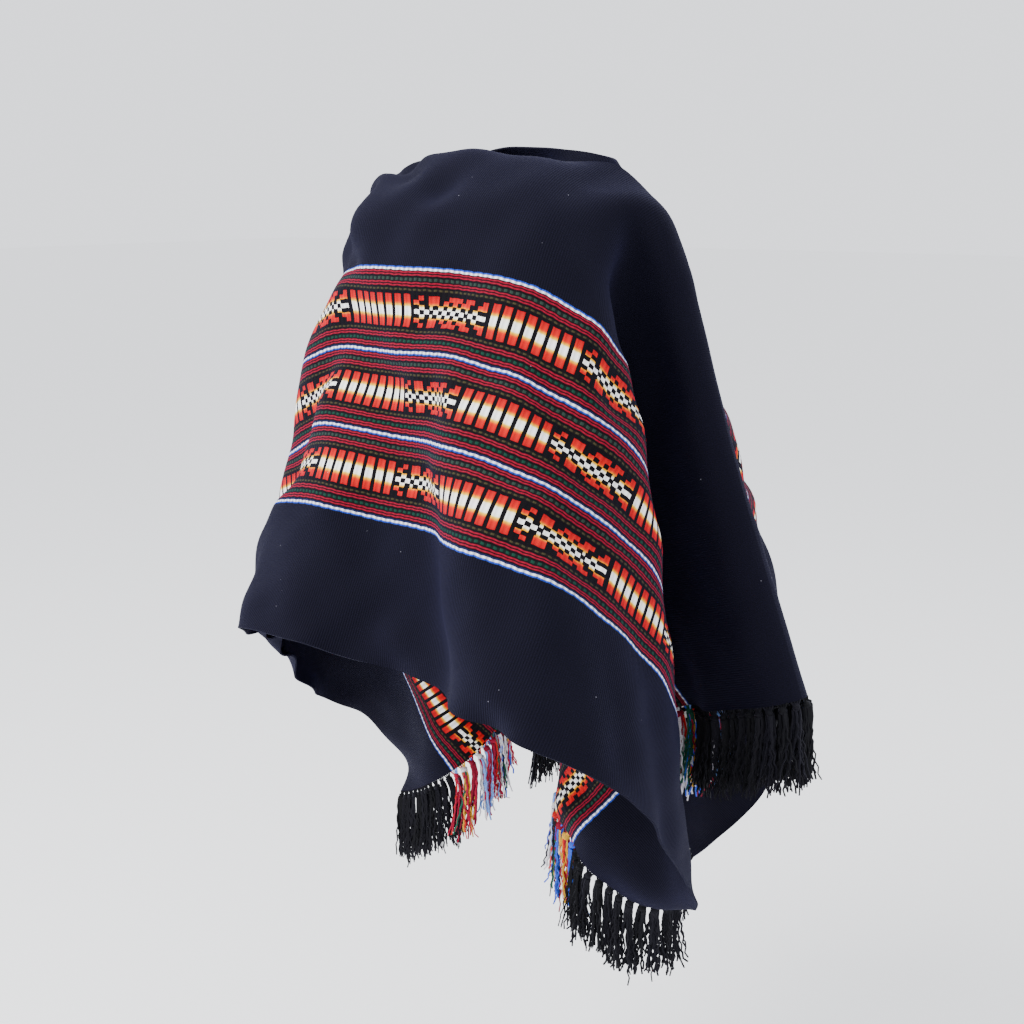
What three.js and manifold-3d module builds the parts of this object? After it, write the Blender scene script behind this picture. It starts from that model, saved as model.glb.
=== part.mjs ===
// Woven poncho as it hangs when worn: two flat halves joined along the shoulder line,
// a head slit in the middle of that line, and a knotted fringe at both warp ends.
// Millimetres, +Z up, the wearer faces -Y, origin at the middle of the head slit.
// Flat cloth places are (u, v): u along the shoulder line, + to the wearer's left,
// v down from that line, the same on the front half and on the back half.
import * as THREE from 'three';
import Module from 'manifold-3d';

const wasm = await Module();
wasm.setup();
const { Manifold, Mesh } = wasm;

// the flat cut
const CUT_WIDTH = 1490;          // along the shoulder line, fringe left out
const HALF_LENGTH = 598;         // shoulder line to hem, each half
const SLIT_HALF = 160;           // half the length of the head slit
const WALL = 2.4;                // thickness of the cloth
const SEAM_GAP = 0.3;            // clear space between the two halves at the shoulder line
const MITRE_LEAST = 0.45;        // keeps the shoulder line's mitre short where it is sharp
const COLUMNS = 46;              // lattice steps along u
const ROWS = 20;                 // lattice steps along v

// the fringe
const FRINGE_GAP = 0.4;          // clear space between the cloth's end and the heading strip
const STRIP_WIDTH = 3.2;         // heading strip, measured along the warp
const STRIP_INSET = 7;           // the strip starts this far from the shoulder line
const LOCKS_PER_EDGE = 30;       // locks on one end of one half
const LOCK_LENGTH = 90;
const LOCK_TURN = 0.25;          // how far a lock has turned down where it leaves the strip
const LOCK_SIDES = 3;
const LOCK_LEAN = 0.07;          // sideways, along the cloth's end
const LOCK_SWAY = 0.05;          // out of the cloth's face
const LOCK_UNEVEN = 0.06;        // share by which lengths differ
// rings of a lock: at is a share of its length; its root is thinner than the strip
const LOCK_RINGS = [
  { at: 0, radius: 1.1 },
  { at: 0.08, radius: 3 },
  { at: 0.42, radius: 2.5 },
  { at: 1, radius: 1.3 },
];

// where the cloth is held
const SLIT_END_HEIGHT = { left: -14, right: -26 };
const NECK_FRONT = 46;           // how far the slit's front edge stands forward at the middle
const NECK_BACK = 64;
const NECK_FRONT_HEIGHT = -14;
const NECK_BACK_HEIGHT = 2;
const SHOULDER_SPREAD = 0.15;    // rulings leave the slit ends this much flatter
const SPREAD_REACH = 100;        // and lose it over this length
const RULING_PARTS = 24;         // straight steps in one ruling
const CENTRE_FULLNESS = 0.8;     // how widely the centre line's curve spreads to the slit ends

// Each half hangs from a slit end as a fan of straight rulings.
// angle: degrees in the flat cloth, from the shoulder line; out and forward: tilt as tangents.
const FANS = {
  frontLeft: [
    { angle: 0, out: 0.43, forward: 0.02 },
    { angle: 6.3, out: 0.31, forward: 0.05 },
    { angle: 13.3, out: 0.18, forward: 0.04 },
    { angle: 28.3, out: -0.08, forward: 0.035 },
    { angle: 33.5, out: -0.09, forward: 0.12 },
    { angle: 46.2, out: 0.13, forward: 0.105 },
    { angle: 51.6, out: 0.21, forward: 0.16 },
    { angle: 58, out: 0.261, forward: 0.27 },
    { angle: 64.9, out: 0.277, forward: 0.41 },
    { angle: 72.5, out: 0.257, forward: 0.571 },
    { angle: 81.8, out: 0.1, forward: 0.682 },
    { angle: 90, out: -0.03, forward: 0.56 },
  ],
  backLeft: [
    { angle: 0, out: 0.43, forward: 0.02 },
    { angle: 8.3, out: 0.31, forward: -0.085 },
    { angle: 16.4, out: 0.17, forward: -0.13 },
    { angle: 31.8, out: -0.1, forward: -0.135 },
    { angle: 36.5, out: -0.1, forward: -0.215 },
    { angle: 46.9, out: 0.08, forward: -0.185 },
    { angle: 52.4, out: 0.175, forward: -0.21 },
    { angle: 57.6, out: 0.15, forward: -0.3 },
    { angle: 63.3, out: 0.09, forward: -0.39 },
    { angle: 70.2, out: 0.033, forward: -0.52 },
    { angle: 78.1, out: -0.116, forward: -0.553 },
    { angle: 85, out: -0.156, forward: -0.42 },
    { angle: 90, out: -0.08, forward: -0.36 },
  ],
  frontRight: [
    { angle: 0, out: 0.38, forward: -0.16 },
    { angle: 11.1, out: 0.17, forward: -0.13 },
    { angle: 30.1, out: -0.163, forward: -0.12 },
    { angle: 34.9, out: -0.163, forward: -0.04 },
    { angle: 51.7, out: 0.13, forward: -0.055 },
    { angle: 56.9, out: 0.2, forward: 0 },
    { angle: 63.2, out: 0.225, forward: 0.11 },
    { angle: 71.3, out: 0.18, forward: 0.25 },
    { angle: 79, out: 0.1, forward: 0.37 },
    { angle: 85.6, out: 0.03, forward: 0.48 },
    { angle: 90, out: -0.03, forward: 0.55 },
  ],
  backRight: [
    { angle: 0, out: 0.38, forward: -0.16 },
    { angle: 10.8, out: 0.2, forward: -0.25 },
    { angle: 31.3, out: -0.171, forward: -0.25 },
    { angle: 35.9, out: -0.171, forward: -0.33 },
    { angle: 53.3, out: 0.15, forward: -0.34 },
    { angle: 63.5, out: 0.345, forward: -0.37 },
    { angle: 70.7, out: 0.318, forward: -0.511 },
    { angle: 81.8, out: 0.1, forward: -0.534 },
    { angle: 90, out: -0.02, forward: -0.42 },
  ],
};

// tilt of the centre line away from the upright, by distance down the cloth
const CENTRE_FRONT = [
  { v: 0, tilt: 0.95 },
  { v: 120, tilt: 0.8 },
  { v: 220, tilt: 0.4 },
  { v: 340, tilt: 0.25 },
  { v: 480, tilt: 0.38 },
  { v: 625, tilt: 0.45 },
];
const CENTRE_BACK = [
  { v: 0, tilt: 0.5 },
  { v: 120, tilt: 0.45 },
  { v: 240, tilt: 0.38 },
  { v: 625, tilt: 0.36 },
];

// Places that the settled cloth is drawn towards: half 0 is the front, 1 the back.
const HANDLES = [
  { half: 0, u: 0, v: 0, x: 0, y: -44, z: -14, pull: 0.3 },
  { half: 0, u: 90, v: 0, x: 88, y: -34, z: -20, pull: 0.3 },
  { half: 0, u: -115, v: 30, x: -110, y: -34, z: -32, pull: 1 },
  { half: 0, u: -65, v: 30, x: -63, y: -56, z: -12, pull: 0.6 },
  { half: 0, u: 0, v: 30, x: 0, y: -66, z: -3, pull: 0.6 },
  { half: 0, u: 65, v: 30, x: 65, y: -62, z: -10, pull: 0.6 },
  { half: 0, u: -130, v: 90, x: -110, y: -70, z: -68, pull: 1 },
  { half: 0, u: -65, v: 75, x: -62, y: -92, z: -42, pull: 0.6 },
  { half: 0, u: -130, v: 150, x: -108, y: -104, z: -102, pull: 0.8 },
  { half: 0, u: 0, v: 90, x: 0, y: -106, z: -50, pull: 0.5 },
  { half: 0, u: 62, v: 231, x: 65, y: -168, z: -153, pull: 0.6 },
  { half: 0, u: 62, v: 319, x: 66, y: -194, z: -242, pull: 0.6 },
  { half: 0, u: 62, v: 407, x: 65, y: -213, z: -329, pull: 0.6 },
  { half: 0, u: 267, v: 231, x: 218, y: -133, z: -239, pull: 0.6 },
  { half: 0, u: 267, v: 319, x: 225, y: -185, z: -299, pull: 0.6 },
  { half: 0, u: 267, v: 407, x: 233, y: -242, z: -357, pull: 0.6 },
  { half: 0, u: 477, v: 407, x: 287, y: -96, z: -518, pull: 1 },
  { half: 0, u: -103, v: 231, x: -105, y: -147, z: -149, pull: 1 },
  { half: 0, u: -103, v: 319, x: -104, y: -171, z: -236, pull: 1 },
  { half: 0, u: -103, v: 407, x: -98, y: -205, z: -320, pull: 1 },
  { half: 0, u: 62, v: 187, x: 65, y: -163, z: -118, pull: 0.6 },
  { half: 0, u: 267, v: 187, x: 207, y: -101, z: -207, pull: 0.6 },
  { half: 0, u: 62, v: 451, x: 64, y: -220, z: -363, pull: 0.6 },
  { half: 0, u: 267, v: 451, x: 241, y: -272, z: -382, pull: 0.6 },
  { half: 0, u: 62, v: 598, x: 61, y: -255, z: -499, pull: 0.6 },
  { half: 0, u: 267, v: 598, x: 242, y: -322, z: -501, pull: 0.6 },
  { half: 0, u: 690, v: 598, x: 319, y: -89, z: -785, pull: 0.6 },
  { half: 0, u: 745, v: 187, x: 252, y: 44, z: -614, pull: 0.6 },
  { half: 0, u: 745, v: 451, x: 166, y: -84, z: -738, pull: 0.6 },
  { half: 0, u: 745, v: 598, x: 274, y: -53, z: -785, pull: 0.5 },
  { half: 0, u: 745, v: 0, x: 391, y: -11, z: -554, pull: 0.6 },
  { half: 0, u: 677, v: 407, x: 173, y: -85, z: -675, pull: 0.6 },
  { half: 0, u: 302, v: 187, x: 210, y: -58, z: -223, pull: 1 },
  { half: 0, u: 345, v: 231, x: 228, y: -60, z: -286, pull: 1 },
  { half: 0, u: 405, v: 319, x: 258, y: -73, z: -404, pull: 1 },
  { half: 0, u: 525, v: 451, x: 295, y: -98, z: -572, pull: 0.6 },
  { half: 0, u: -160, v: 187, x: -150, y: -75, z: -120, pull: 0.8 },
  { half: 0, u: -115, v: 187, x: -108, y: -128, z: -117, pull: 0.8 },
  { half: 0, u: -162, v: 451, x: -156, y: -205, z: -364, pull: 1 },
  { half: 0, u: -165, v: 598, x: -143, y: -275, z: -501, pull: 1 },
  { half: 0, u: -292, v: 400, x: -252, y: -114, z: -403, pull: 0.6 },
  { half: 0, u: -215, v: 540, x: -185, y: -219, z: -487, pull: 0.8 },
  { half: 0, u: -194, v: 568, x: -168, y: -244, z: -496, pull: 0.8 },
  { half: 0, u: -235, v: 598, x: -186, y: -212, z: -508, pull: 0.5 },
  { half: 0, u: -310, v: 598, x: -228, y: -150, z: -540, pull: 0.5 },
  { half: 0, u: -400, v: 598, x: -248, y: -90, z: -600, pull: 0.5 },
  { half: 0, u: -500, v: 598, x: -262, y: -30, z: -690, pull: 0.4 },
  { half: 0, u: -745, v: 598, x: -262, y: 70, z: -850, pull: 0.5 },
  { half: 1, u: 725, v: 598, x: 216, y: 125, z: -887, pull: 0.3 },
  { half: 1, u: 590, v: 598, x: 281, y: 168, z: -764, pull: 0.3 },
  { half: 1, u: 250, v: 187, x: 186, y: 86, z: -200, pull: 1 },
  { half: 1, u: 259, v: 269, x: 190, y: 124, z: -270, pull: 1 },
  { half: 1, u: 300, v: 359, x: 206, y: 160, z: -366, pull: 1 },
  { half: 1, u: 356, v: 440, x: 226, y: 200, z: -462, pull: 0.8 },
  { half: 0, u: 162, v: 0, x: 157, y: 4, z: -14, pull: 0.5 },
  { half: 0, u: 212, v: 0, x: 203, y: 9, z: -48, pull: 1 },
];

// how the lattice settles towards the lengths of the flat cut
const STEPS = 120;
const SWEEPS = 12;
const SAG = 0.15;                // drop added each step
const CARRY = 0.9;               // share of the last move that carries on
const LARGEST_CARRY = 10;
const BEND = 0.15;               // hold of the bending links
const SHEAR = 0.35;              // hold of the links across a mesh
const HANDLE_HOLD = 0.5;
const LAYER_GAP = 26;            // layers of the lattice stay this far apart
const LAYER_REACH = 45;
const LAYER_APART = 95;          // layers are lattice points this far apart in the flat cloth
const LAYER_HOLD = 0.25;
const HALVES_GAP = 22;           // front and back part by this much a row, beside the shoulder line
const HALVES_GAP_MOST = 44;
const HALVES_HOLD = 0.25;
const LAYER_SEARCH_EVERY = 15;   // steps between two searches for near layers
const GENTLE_EVERY = 3;          // sweeps between two pulls of layers and handles
const ANCHOR = { front: 0.002, rest: 0.006, shoulder: 0.01, slit: 0.3 };
const ANCHOR_FRONT_FROM = -170;  // the front's looser anchors start at this u
const ANCHOR_SLIT_PAST = 5;      // the slit's firm anchors reach this far past its ends

const HALF_WIDTH = CUT_WIDTH / 2;
const DU = CUT_WIDTH / COLUMNS;
const DV = HALF_LENGTH / ROWS;
const U_COUNT = COLUMNS + 1;
const V_COUNT = ROWS + 1;
const POINTS = 2 * U_COUNT * V_COUNT;
const FRONT = 0;
const BACK = 1;

const index = (half, i, j) => (half * U_COUNT + i) * V_COUNT + j;
const uAt = (i) => -HALF_WIDTH + i * DU;
const vAt = (j) => j * DV;
const joined = (i) => Math.abs(uAt(i)) >= SLIT_HALF - 1;

// value of a table's named columns at x, as a smooth cubic through its rows
function tableAt(rows, key, names, x) {
  const last = rows.length - 1;
  const h = [];
  for (let i = 0; i < last; i += 1) h.push(rows[i + 1][key] - rows[i][key]);
  let k = 0;
  while (k < last - 1 && x >= rows[k + 1][key]) k += 1;
  const t = (x - rows[k][key]) / h[k];
  return names.map((name) => {
    const rise = (i) => (rows[i + 1][name] - rows[i][name]) / h[i];
    const slope = (i) => {
      if (i === 0) return rise(0);
      if (i === last) return rise(last - 1);
      return (rise(i - 1) * h[i] + rise(i) * h[i - 1]) / (h[i] + h[i - 1]);
    };
    return (1 + 2 * t) * (1 - t) ** 2 * rows[k][name] + t * (1 - t) ** 2 * h[k] * slope(k)
      + t * t * (3 - 2 * t) * rows[k + 1][name] + t * t * (t - 1) * h[k] * slope(k + 1);
  });
}

// value of the tilt table at v, by straight lines between its rows
function tiltAt(rows, v) {
  let k = 0;
  while (k < rows.length - 2 && v >= rows[k + 1].v) k += 1;
  const t = (v - rows[k].v) / (rows[k + 1].v - rows[k].v);
  return rows[k].tilt + (rows[k + 1].tilt - rows[k].tilt) * Math.min(t, 1);
}

// end of a ruling of length r that leaves a slit end with the given tilt
function ruling(side, r, out, forward) {
  const height = side > 0 ? SLIT_END_HEIGHT.left : SLIT_END_HEIGHT.right;
  let [x, y, z] = [SLIT_HALF, 0, height];
  for (let n = 0; n < RULING_PARTS; n += 1) {
    const flatter = 1 + SHOULDER_SPREAD * Math.exp((-r * (n + 0.5)) / RULING_PARTS / SPREAD_REACH);
    const [a, b] = [out * flatter, forward * flatter];
    const step = r / RULING_PARTS / Math.sqrt(1 + a * a + b * b);
    x += a * step;
    y -= b * step;
    z -= step;
  }
  return [side * x, y, z];
}

// the centre line of a half at v: how far it stands from the slit plane, and its height
function centreLine(half, v) {
  const rows = half === FRONT ? CENTRE_FRONT : CENTRE_BACK;
  let [away, down] = [half === FRONT ? NECK_FRONT : NECK_BACK, 0];
  for (let n = 0; n < RULING_PARTS; n += 1) {
    const tilt = tiltAt(rows, (v * (n + 0.5)) / RULING_PARTS);
    const step = v / RULING_PARTS / Math.sqrt(1 + tilt * tilt);
    away += tilt * step;
    down += step;
  }
  return half === FRONT ? [-away, NECK_FRONT_HEIGHT - down] : [away, NECK_BACK_HEIGHT - down];
}

// where a flat place lies before the cloth settles
function fanPlace(half, u, v) {
  const [left, right] = half === FRONT
    ? [FANS.frontLeft, FANS.frontRight] : [FANS.backLeft, FANS.backRight];
  if (Math.abs(u) >= SLIT_HALF) {
    const side = Math.sign(u);
    const along = Math.abs(u) - SLIT_HALF;
    const angle = (Math.atan2(v, Math.max(along, 1e-9)) * 180) / Math.PI;
    const [out, forward] = tableAt(side > 0 ? left : right, 'angle', ['out', 'forward'], angle);
    return ruling(side, Math.hypot(along, v), out, forward);
  }
  const [endLeft, endRight] = [left[left.length - 1], right[right.length - 1]];
  const share = (u / SLIT_HALF + 1) / 2;
  const a = ruling(1, v, endLeft.out, endLeft.forward);
  const b = ruling(-1, v, endRight.out, endRight.forward);
  const [y, z] = centreLine(half, v);
  const middle = (1 - (u / SLIT_HALF) ** 2) ** CENTRE_FULLNESS;
  const straight = [0, 1, 2].map((n) => b[n] * (1 - share) + a[n] * share);
  return [
    straight[0],
    straight[1] * (1 - middle) + y * middle,
    straight[2] * (1 - middle) + z * middle,
  ];
}

function everyPoint(visit) {
  for (let half = 0; half < 2; half += 1) {
    for (let i = 0; i < U_COUNT; i += 1) {
      for (let j = 0; j < V_COUNT; j += 1) visit(half, i, j, 3 * index(half, i, j));
    }
  }
}

function startPlaces() {
  const places = new Float64Array(3 * POINTS);
  everyPoint((half, i, j, at) => places.set(fanPlace(half, uAt(i), vAt(j)), at));
  return places;
}

// links from (i, j) to (i + di, j + dj), taken where the start index passes the test
function linkBatch(di, dj, rest, hold, test) {
  const pairs = [];
  everyPoint((half, i, j) => {
    const [i2, j2] = [i + di, j + dj];
    if (i2 >= U_COUNT || j2 < 0 || j2 >= V_COUNT || !test(i, j)) return;
    pairs.push([3 * index(half, i, j), 3 * index(half, i2, j2)]);
  });
  return { pairs, rest, hold };
}

// every link of the cloth in batches whose pairs share no point
function allLinks() {
  const batches = [];
  const parity = (n, s) => n % 2 === s;
  for (const s of [0, 1]) batches.push(linkBatch(1, 0, DU, 1, (i) => parity(i, s)));
  for (const s of [0, 1]) batches.push(linkBatch(0, 1, DV, 1, (i, j) => parity(j, s)));
  const across = Math.hypot(DU, DV);
  for (const s of [0, 1]) {
    batches.push(linkBatch(1, 1, across, SHEAR, (i) => parity(i, s)));
    batches.push(linkBatch(1, -1, across, SHEAR, (i) => parity(i, s)));
  }
  for (const h of [2, 4]) {
    for (const s of [0, 1]) {
      batches.push(linkBatch(h, 0, h * DU, BEND, (i) => parity(Math.floor(i / h), s)));
      batches.push(linkBatch(0, h, h * DV, BEND, (i, j) => parity(Math.floor(j / h), s)));
    }
  }
  const pairs = [];
  for (let i = 0; i < U_COUNT; i += 1) {
    if (joined(i)) pairs.push([3 * index(FRONT, i, 1), 3 * index(BACK, i, 1)]);
  }
  batches.push({ pairs, rest: 2 * DV, hold: BEND });
  return batches;
}

function pullLinks(P, { pairs, rest, hold }) {
  for (const [a, b] of pairs) {
    const [dx, dy, dz] = [P[b] - P[a], P[b + 1] - P[a + 1], P[b + 2] - P[a + 2]];
    const length = Math.sqrt(dx * dx + dy * dy + dz * dz);
    const share = (0.5 * hold * (length - rest)) / Math.max(length, 1e-9);
    P[a] += dx * share;
    P[a + 1] += dy * share;
    P[a + 2] += dz * share;
    P[b] -= dx * share;
    P[b + 1] -= dy * share;
    P[b + 2] -= dz * share;
  }
}

// the two halves share the shoulder line
function weld(P) {
  for (let i = 0; i < U_COUNT; i += 1) {
    if (!joined(i)) continue;
    const [a, b] = [3 * index(FRONT, i, 0), 3 * index(BACK, i, 0)];
    for (let n = 0; n < 3; n += 1) {
      const middle = 0.5 * (P[a + n] + P[b + n]);
      P[a + n] = middle;
      P[b + n] = middle;
    }
  }
}

// points near each other in space whose flat places are far apart
function layerPairs(P) {
  const pairs = [];
  const flat = [];
  everyPoint((half, i, j) => flat.push([uAt(i), half === FRONT ? vAt(j) : -vAt(j)]));
  for (let a = 0; a < POINTS; a += 1) {
    for (let b = a + 1; b < POINTS; b += 1) {
      const dx = P[3 * b] - P[3 * a];
      if (Math.abs(dx) > LAYER_REACH) continue;
      const d = Math.hypot(dx, P[3 * b + 1] - P[3 * a + 1], P[3 * b + 2] - P[3 * a + 2]);
      if (d > LAYER_REACH) continue;
      const apart = Math.max(Math.abs(flat[a][0] - flat[b][0]), Math.abs(flat[a][1] - flat[b][1]));
      if (apart > LAYER_APART) pairs.push([3 * a, 3 * b]);
    }
  }
  return pairs;
}

function partLayers(P, pairs) {
  const move = new Float64Array(P.length);
  for (const [a, b] of pairs) {
    const d = [P[b] - P[a], P[b + 1] - P[a + 1], P[b + 2] - P[a + 2]];
    const length = Math.hypot(...d);
    if (length >= LAYER_GAP) continue;
    const share = (LAYER_HOLD * (length - LAYER_GAP)) / Math.max(length, 1e-6);
    for (let n = 0; n < 3; n += 1) {
      move[a + n] += d[n] * share;
      move[b + n] -= d[n] * share;
    }
  }
  for (let n = 0; n < P.length; n += 1) P[n] += move[n];
}

// lattice points and weights around a flat place
function around(half, u, v) {
  const [fu, fv] = [(u + HALF_WIDTH) / DU, v / DV];
  const i = Math.min(Math.floor(fu), COLUMNS - 1);
  const j = Math.min(Math.floor(fv), ROWS - 1);
  const [a, b] = [fu - i, fv - j];
  return [
    [3 * index(half, i, j), (1 - a) * (1 - b)],
    [3 * index(half, i + 1, j), a * (1 - b)],
    [3 * index(half, i, j + 1), (1 - a) * b],
    [3 * index(half, i + 1, j + 1), a * b],
  ];
}

function pullHandles(P) {
  for (const handle of HANDLES) {
    const corners = around(handle.half, handle.u, handle.v);
    const size = corners.reduce((sum, [, w]) => sum + w * w, 0);
    const goal = [handle.x, handle.y, handle.z];
    for (let n = 0; n < 3; n += 1) {
      const here = corners.reduce((sum, [at, w]) => sum + w * P[at + n], 0);
      const move = (goal[n] - here) * handle.pull * HANDLE_HOLD;
      for (const [at, w] of corners) P[at + n] += (move * w) / size;
    }
  }
}

function anchorWeights() {
  const weights = new Float64Array(POINTS);
  everyPoint((half, i, j, at) => {
    let weight = half === FRONT && uAt(i) > ANCHOR_FRONT_FROM ? ANCHOR.front : ANCHOR.rest;
    if (j === 0 && joined(i)) weight = ANCHOR.shoulder;
    if (j === 0 && Math.abs(uAt(i)) < SLIT_HALF + ANCHOR_SLIT_PAST) weight = ANCHOR.slit;
    weights[at / 3] = weight;
  });
  return weights;
}

function holdAnchors(P, start, weights) {
  for (let n = 0; n < P.length; n += 1) P[n] += (start[n] - P[n]) * weights[Math.floor(n / 3)];
}

// beside the shoulder line the front half stays in front of the back half
function partHalves(P) {
  for (let i = 0; i < U_COUNT; i += 1) {
    if (!joined(i)) continue;
    for (let j = 1; j < V_COUNT; j += 1) {
      const [a, b] = [3 * index(FRONT, i, j) + 1, 3 * index(BACK, i, j) + 1];
      const gap = Math.min(HALVES_GAP * j, HALVES_GAP_MOST);
      const move = Math.max(gap - (P[b] - P[a]), 0) * HALVES_HOLD;
      P[a] -= move;
      P[b] += move;
    }
  }
}

function carryOn(P, before) {
  const next = new Float64Array(P.length);
  for (let n = 0; n < P.length; n += 3) {
    const move = [0, 1, 2].map((c) => (P[n + c] - before[n + c]) * CARRY);
    const scale = Math.min(1, LARGEST_CARRY / Math.max(Math.hypot(...move), 1e-9));
    for (let c = 0; c < 3; c += 1) next[n + c] = P[n + c] + move[c] * scale;
    next[n + 2] -= SAG;
  }
  return next;
}

// the settled lattice: lengths near those of the flat cut, layers apart, handles near
function settle() {
  const start = startPlaces();
  const links = allLinks();
  const weights = anchorWeights();
  let P = start.slice();
  let before = start.slice();
  let layers = [];
  for (let step = 0; step < STEPS; step += 1) {
    const next = carryOn(P, before);
    before = P;
    P = next;
    if (step % LAYER_SEARCH_EVERY === 0) layers = layerPairs(P);
    for (let k = 0; k < SWEEPS; k += 1) {
      for (const batch of links) pullLinks(P, batch);
      weld(P);
      if (k % GENTLE_EVERY === 0) {
        partLayers(P, layers);
        pullHandles(P);
      }
      holdAnchors(P, start, weights);
      partHalves(P);
    }
  }
  return P;
}

const settled = settle();
const point = (half, i, j) => new THREE.Vector3().fromArray(settled, 3 * index(half, i, j));

// outward normal of a lattice point, from its neighbours
function normalAt(half, i, j) {
  const [i0, i1] = [Math.max(i - 1, 0), Math.min(i + 1, COLUMNS)];
  const [j0, j1] = [Math.max(j - 1, 0), Math.min(j + 1, ROWS)];
  const along = point(half, i1, j).sub(point(half, i0, j));
  const down = point(half, i, j1).sub(point(half, i, j0));
  const normal = down.cross(along).normalize();
  return half === FRONT ? normal : normal.negate();
}

// outer and inner corner of the wall at a lattice point
function wallCorners(half, i, j) {
  const p = point(half, i, j);
  const normal = normalAt(half, i, j);
  if (j > 0 || !joined(i)) {
    return [1, -1].map((s) => p.clone().addScaledVector(normal, (s * WALL) / 2));
  }
  // on the shoulder line both halves end on one plane between them
  const down = [FRONT, BACK].map((h) => point(h, i, 1).sub(p).normalize());
  const across = down[FRONT].clone().sub(down[BACK]).normalize();
  const [i0, i1] = [joined(i - 1) && i > 0 ? i - 1 : i, joined(i + 1) && i < COLUMNS ? i + 1 : i];
  const line = point(half, i1, 0).sub(point(half, i0, 0)).normalize();
  const mitre = across.clone().cross(line).normalize();
  if (mitre.dot(normal) < 0) mitre.negate();
  const reach = WALL / 2 / Math.max(mitre.dot(normal), MITRE_LEAST);
  const own = half === FRONT ? 1 : -1;
  across.addScaledVector(line, -across.dot(line)).normalize();
  return [1, -1].map((s) => p.clone().addScaledVector(mitre, s * reach)
    .addScaledVector(across, (own * SEAM_GAP) / 2));
}

// collects points and triangles of one closed body
class Body {
  constructor() {
    this.positions = [];
    this.triangles = [];
  }

  add(p) {
    this.positions.push(p.x, p.y, p.z);
    return this.positions.length / 3 - 1;
  }

  quad(a, b, c, d) {
    this.triangles.push(a, b, c, a, c, d);
  }

  // the same body with its faces the other way out
  flipped() {
    for (let n = 0; n < this.triangles.length; n += 3) {
      const swap = this.triangles[n + 1];
      this.triangles[n + 1] = this.triangles[n + 2];
      this.triangles[n + 2] = swap;
    }
    return this;
  }

  solid() {
    const mesh = new Mesh({
      numProp: 3,
      vertProperties: new Float32Array(this.positions),
      triVerts: new Uint32Array(this.triangles),
    });
    return new Manifold(mesh);
  }
}

// one half of the cloth as a closed wall
function panelBody(half) {
  const body = new Body();
  const outer = [];
  const inner = [];
  for (let i = 0; i < U_COUNT; i += 1) {
    outer.push([]);
    inner.push([]);
    for (let j = 0; j < V_COUNT; j += 1) {
      const [a, b] = wallCorners(half, i, j);
      outer[i].push(body.add(a));
      inner[i].push(body.add(b));
    }
  }
  for (let i = 0; i < COLUMNS; i += 1) {
    for (let j = 0; j < ROWS; j += 1) {
      body.quad(outer[i][j], outer[i][j + 1], outer[i + 1][j + 1], outer[i + 1][j]);
      body.quad(inner[i][j], inner[i + 1][j], inner[i + 1][j + 1], inner[i][j + 1]);
    }
    body.quad(outer[i][0], outer[i + 1][0], inner[i + 1][0], inner[i][0]);
    body.quad(outer[i][ROWS], inner[i][ROWS], inner[i + 1][ROWS], outer[i + 1][ROWS]);
  }
  for (let j = 0; j < ROWS; j += 1) {
    body.quad(outer[0][j], inner[0][j], inner[0][j + 1], outer[0][j + 1]);
    body.quad(outer[COLUMNS][j], outer[COLUMNS][j + 1], inner[COLUMNS][j + 1], inner[COLUMNS][j]);
  }
  return half === FRONT ? body : body.flipped();
}

// the cloth's warp end at v: place, outward normal, direction along the edge, direction off it
function edgeFrame(half, side, v) {
  const i = side > 0 ? COLUMNS : 0;
  const j = Math.min(Math.floor(v / DV), ROWS - 1);
  const t = v / DV - j;
  const p = point(half, i, j).lerp(point(half, i, j + 1), t);
  const normal = normalAt(half, i, j).lerp(normalAt(half, i, j + 1), t).normalize();
  const edge = point(half, i, j + 1).sub(point(half, i, j)).normalize();
  const inner = point(half, i - side, j).lerp(point(half, i - side, j + 1), t);
  const off = p.clone().sub(inner);
  off.addScaledVector(edge, -off.dot(edge)).addScaledVector(normal, -off.dot(normal));
  return { p, normal, edge, off: off.normalize() };
}

// closed tube through rings of equal size, the ends closed by fans
function tube(rings) {
  const body = new Body();
  const ids = rings.map((ring) => ring.map((p) => body.add(p)));
  const sides = rings[0].length;
  for (let n = 0; n < ids.length - 1; n += 1) {
    for (let k = 0; k < sides; k += 1) {
      const m = (k + 1) % sides;
      body.quad(ids[n][k], ids[n][m], ids[n + 1][m], ids[n + 1][k]);
    }
  }
  const last = ids[ids.length - 1];
  for (let k = 1; k < sides - 1; k += 1) {
    body.triangles.push(ids[0][0], ids[0][k + 1], ids[0][k]);
    body.triangles.push(last[0], last[k], last[k + 1]);
  }
  return body;
}

// a solid from a tube whichever way its rings turn
function tubeSolid(rings) {
  const solid = tube(rings).solid();
  return solid.volume() > 0 ? solid : tube(rings).flipped().solid();
}

// heading strip along a warp end
function stripSolid(half, side) {
  const stops = [STRIP_INSET];
  for (let j = 1; j <= ROWS; j += 1) stops.push(vAt(j));
  const rings = stops.map((v) => {
    const { p, normal, off } = edgeFrame(half, side, v);
    return [[0, -1], [1, -1], [1, 1], [0, 1]].map(([a, s]) => p.clone()
      .addScaledVector(off, FRINGE_GAP + a * STRIP_WIDTH)
      .addScaledVector(normal, (s * WALL) / 2));
  });
  return tubeSolid(rings);
}

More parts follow.
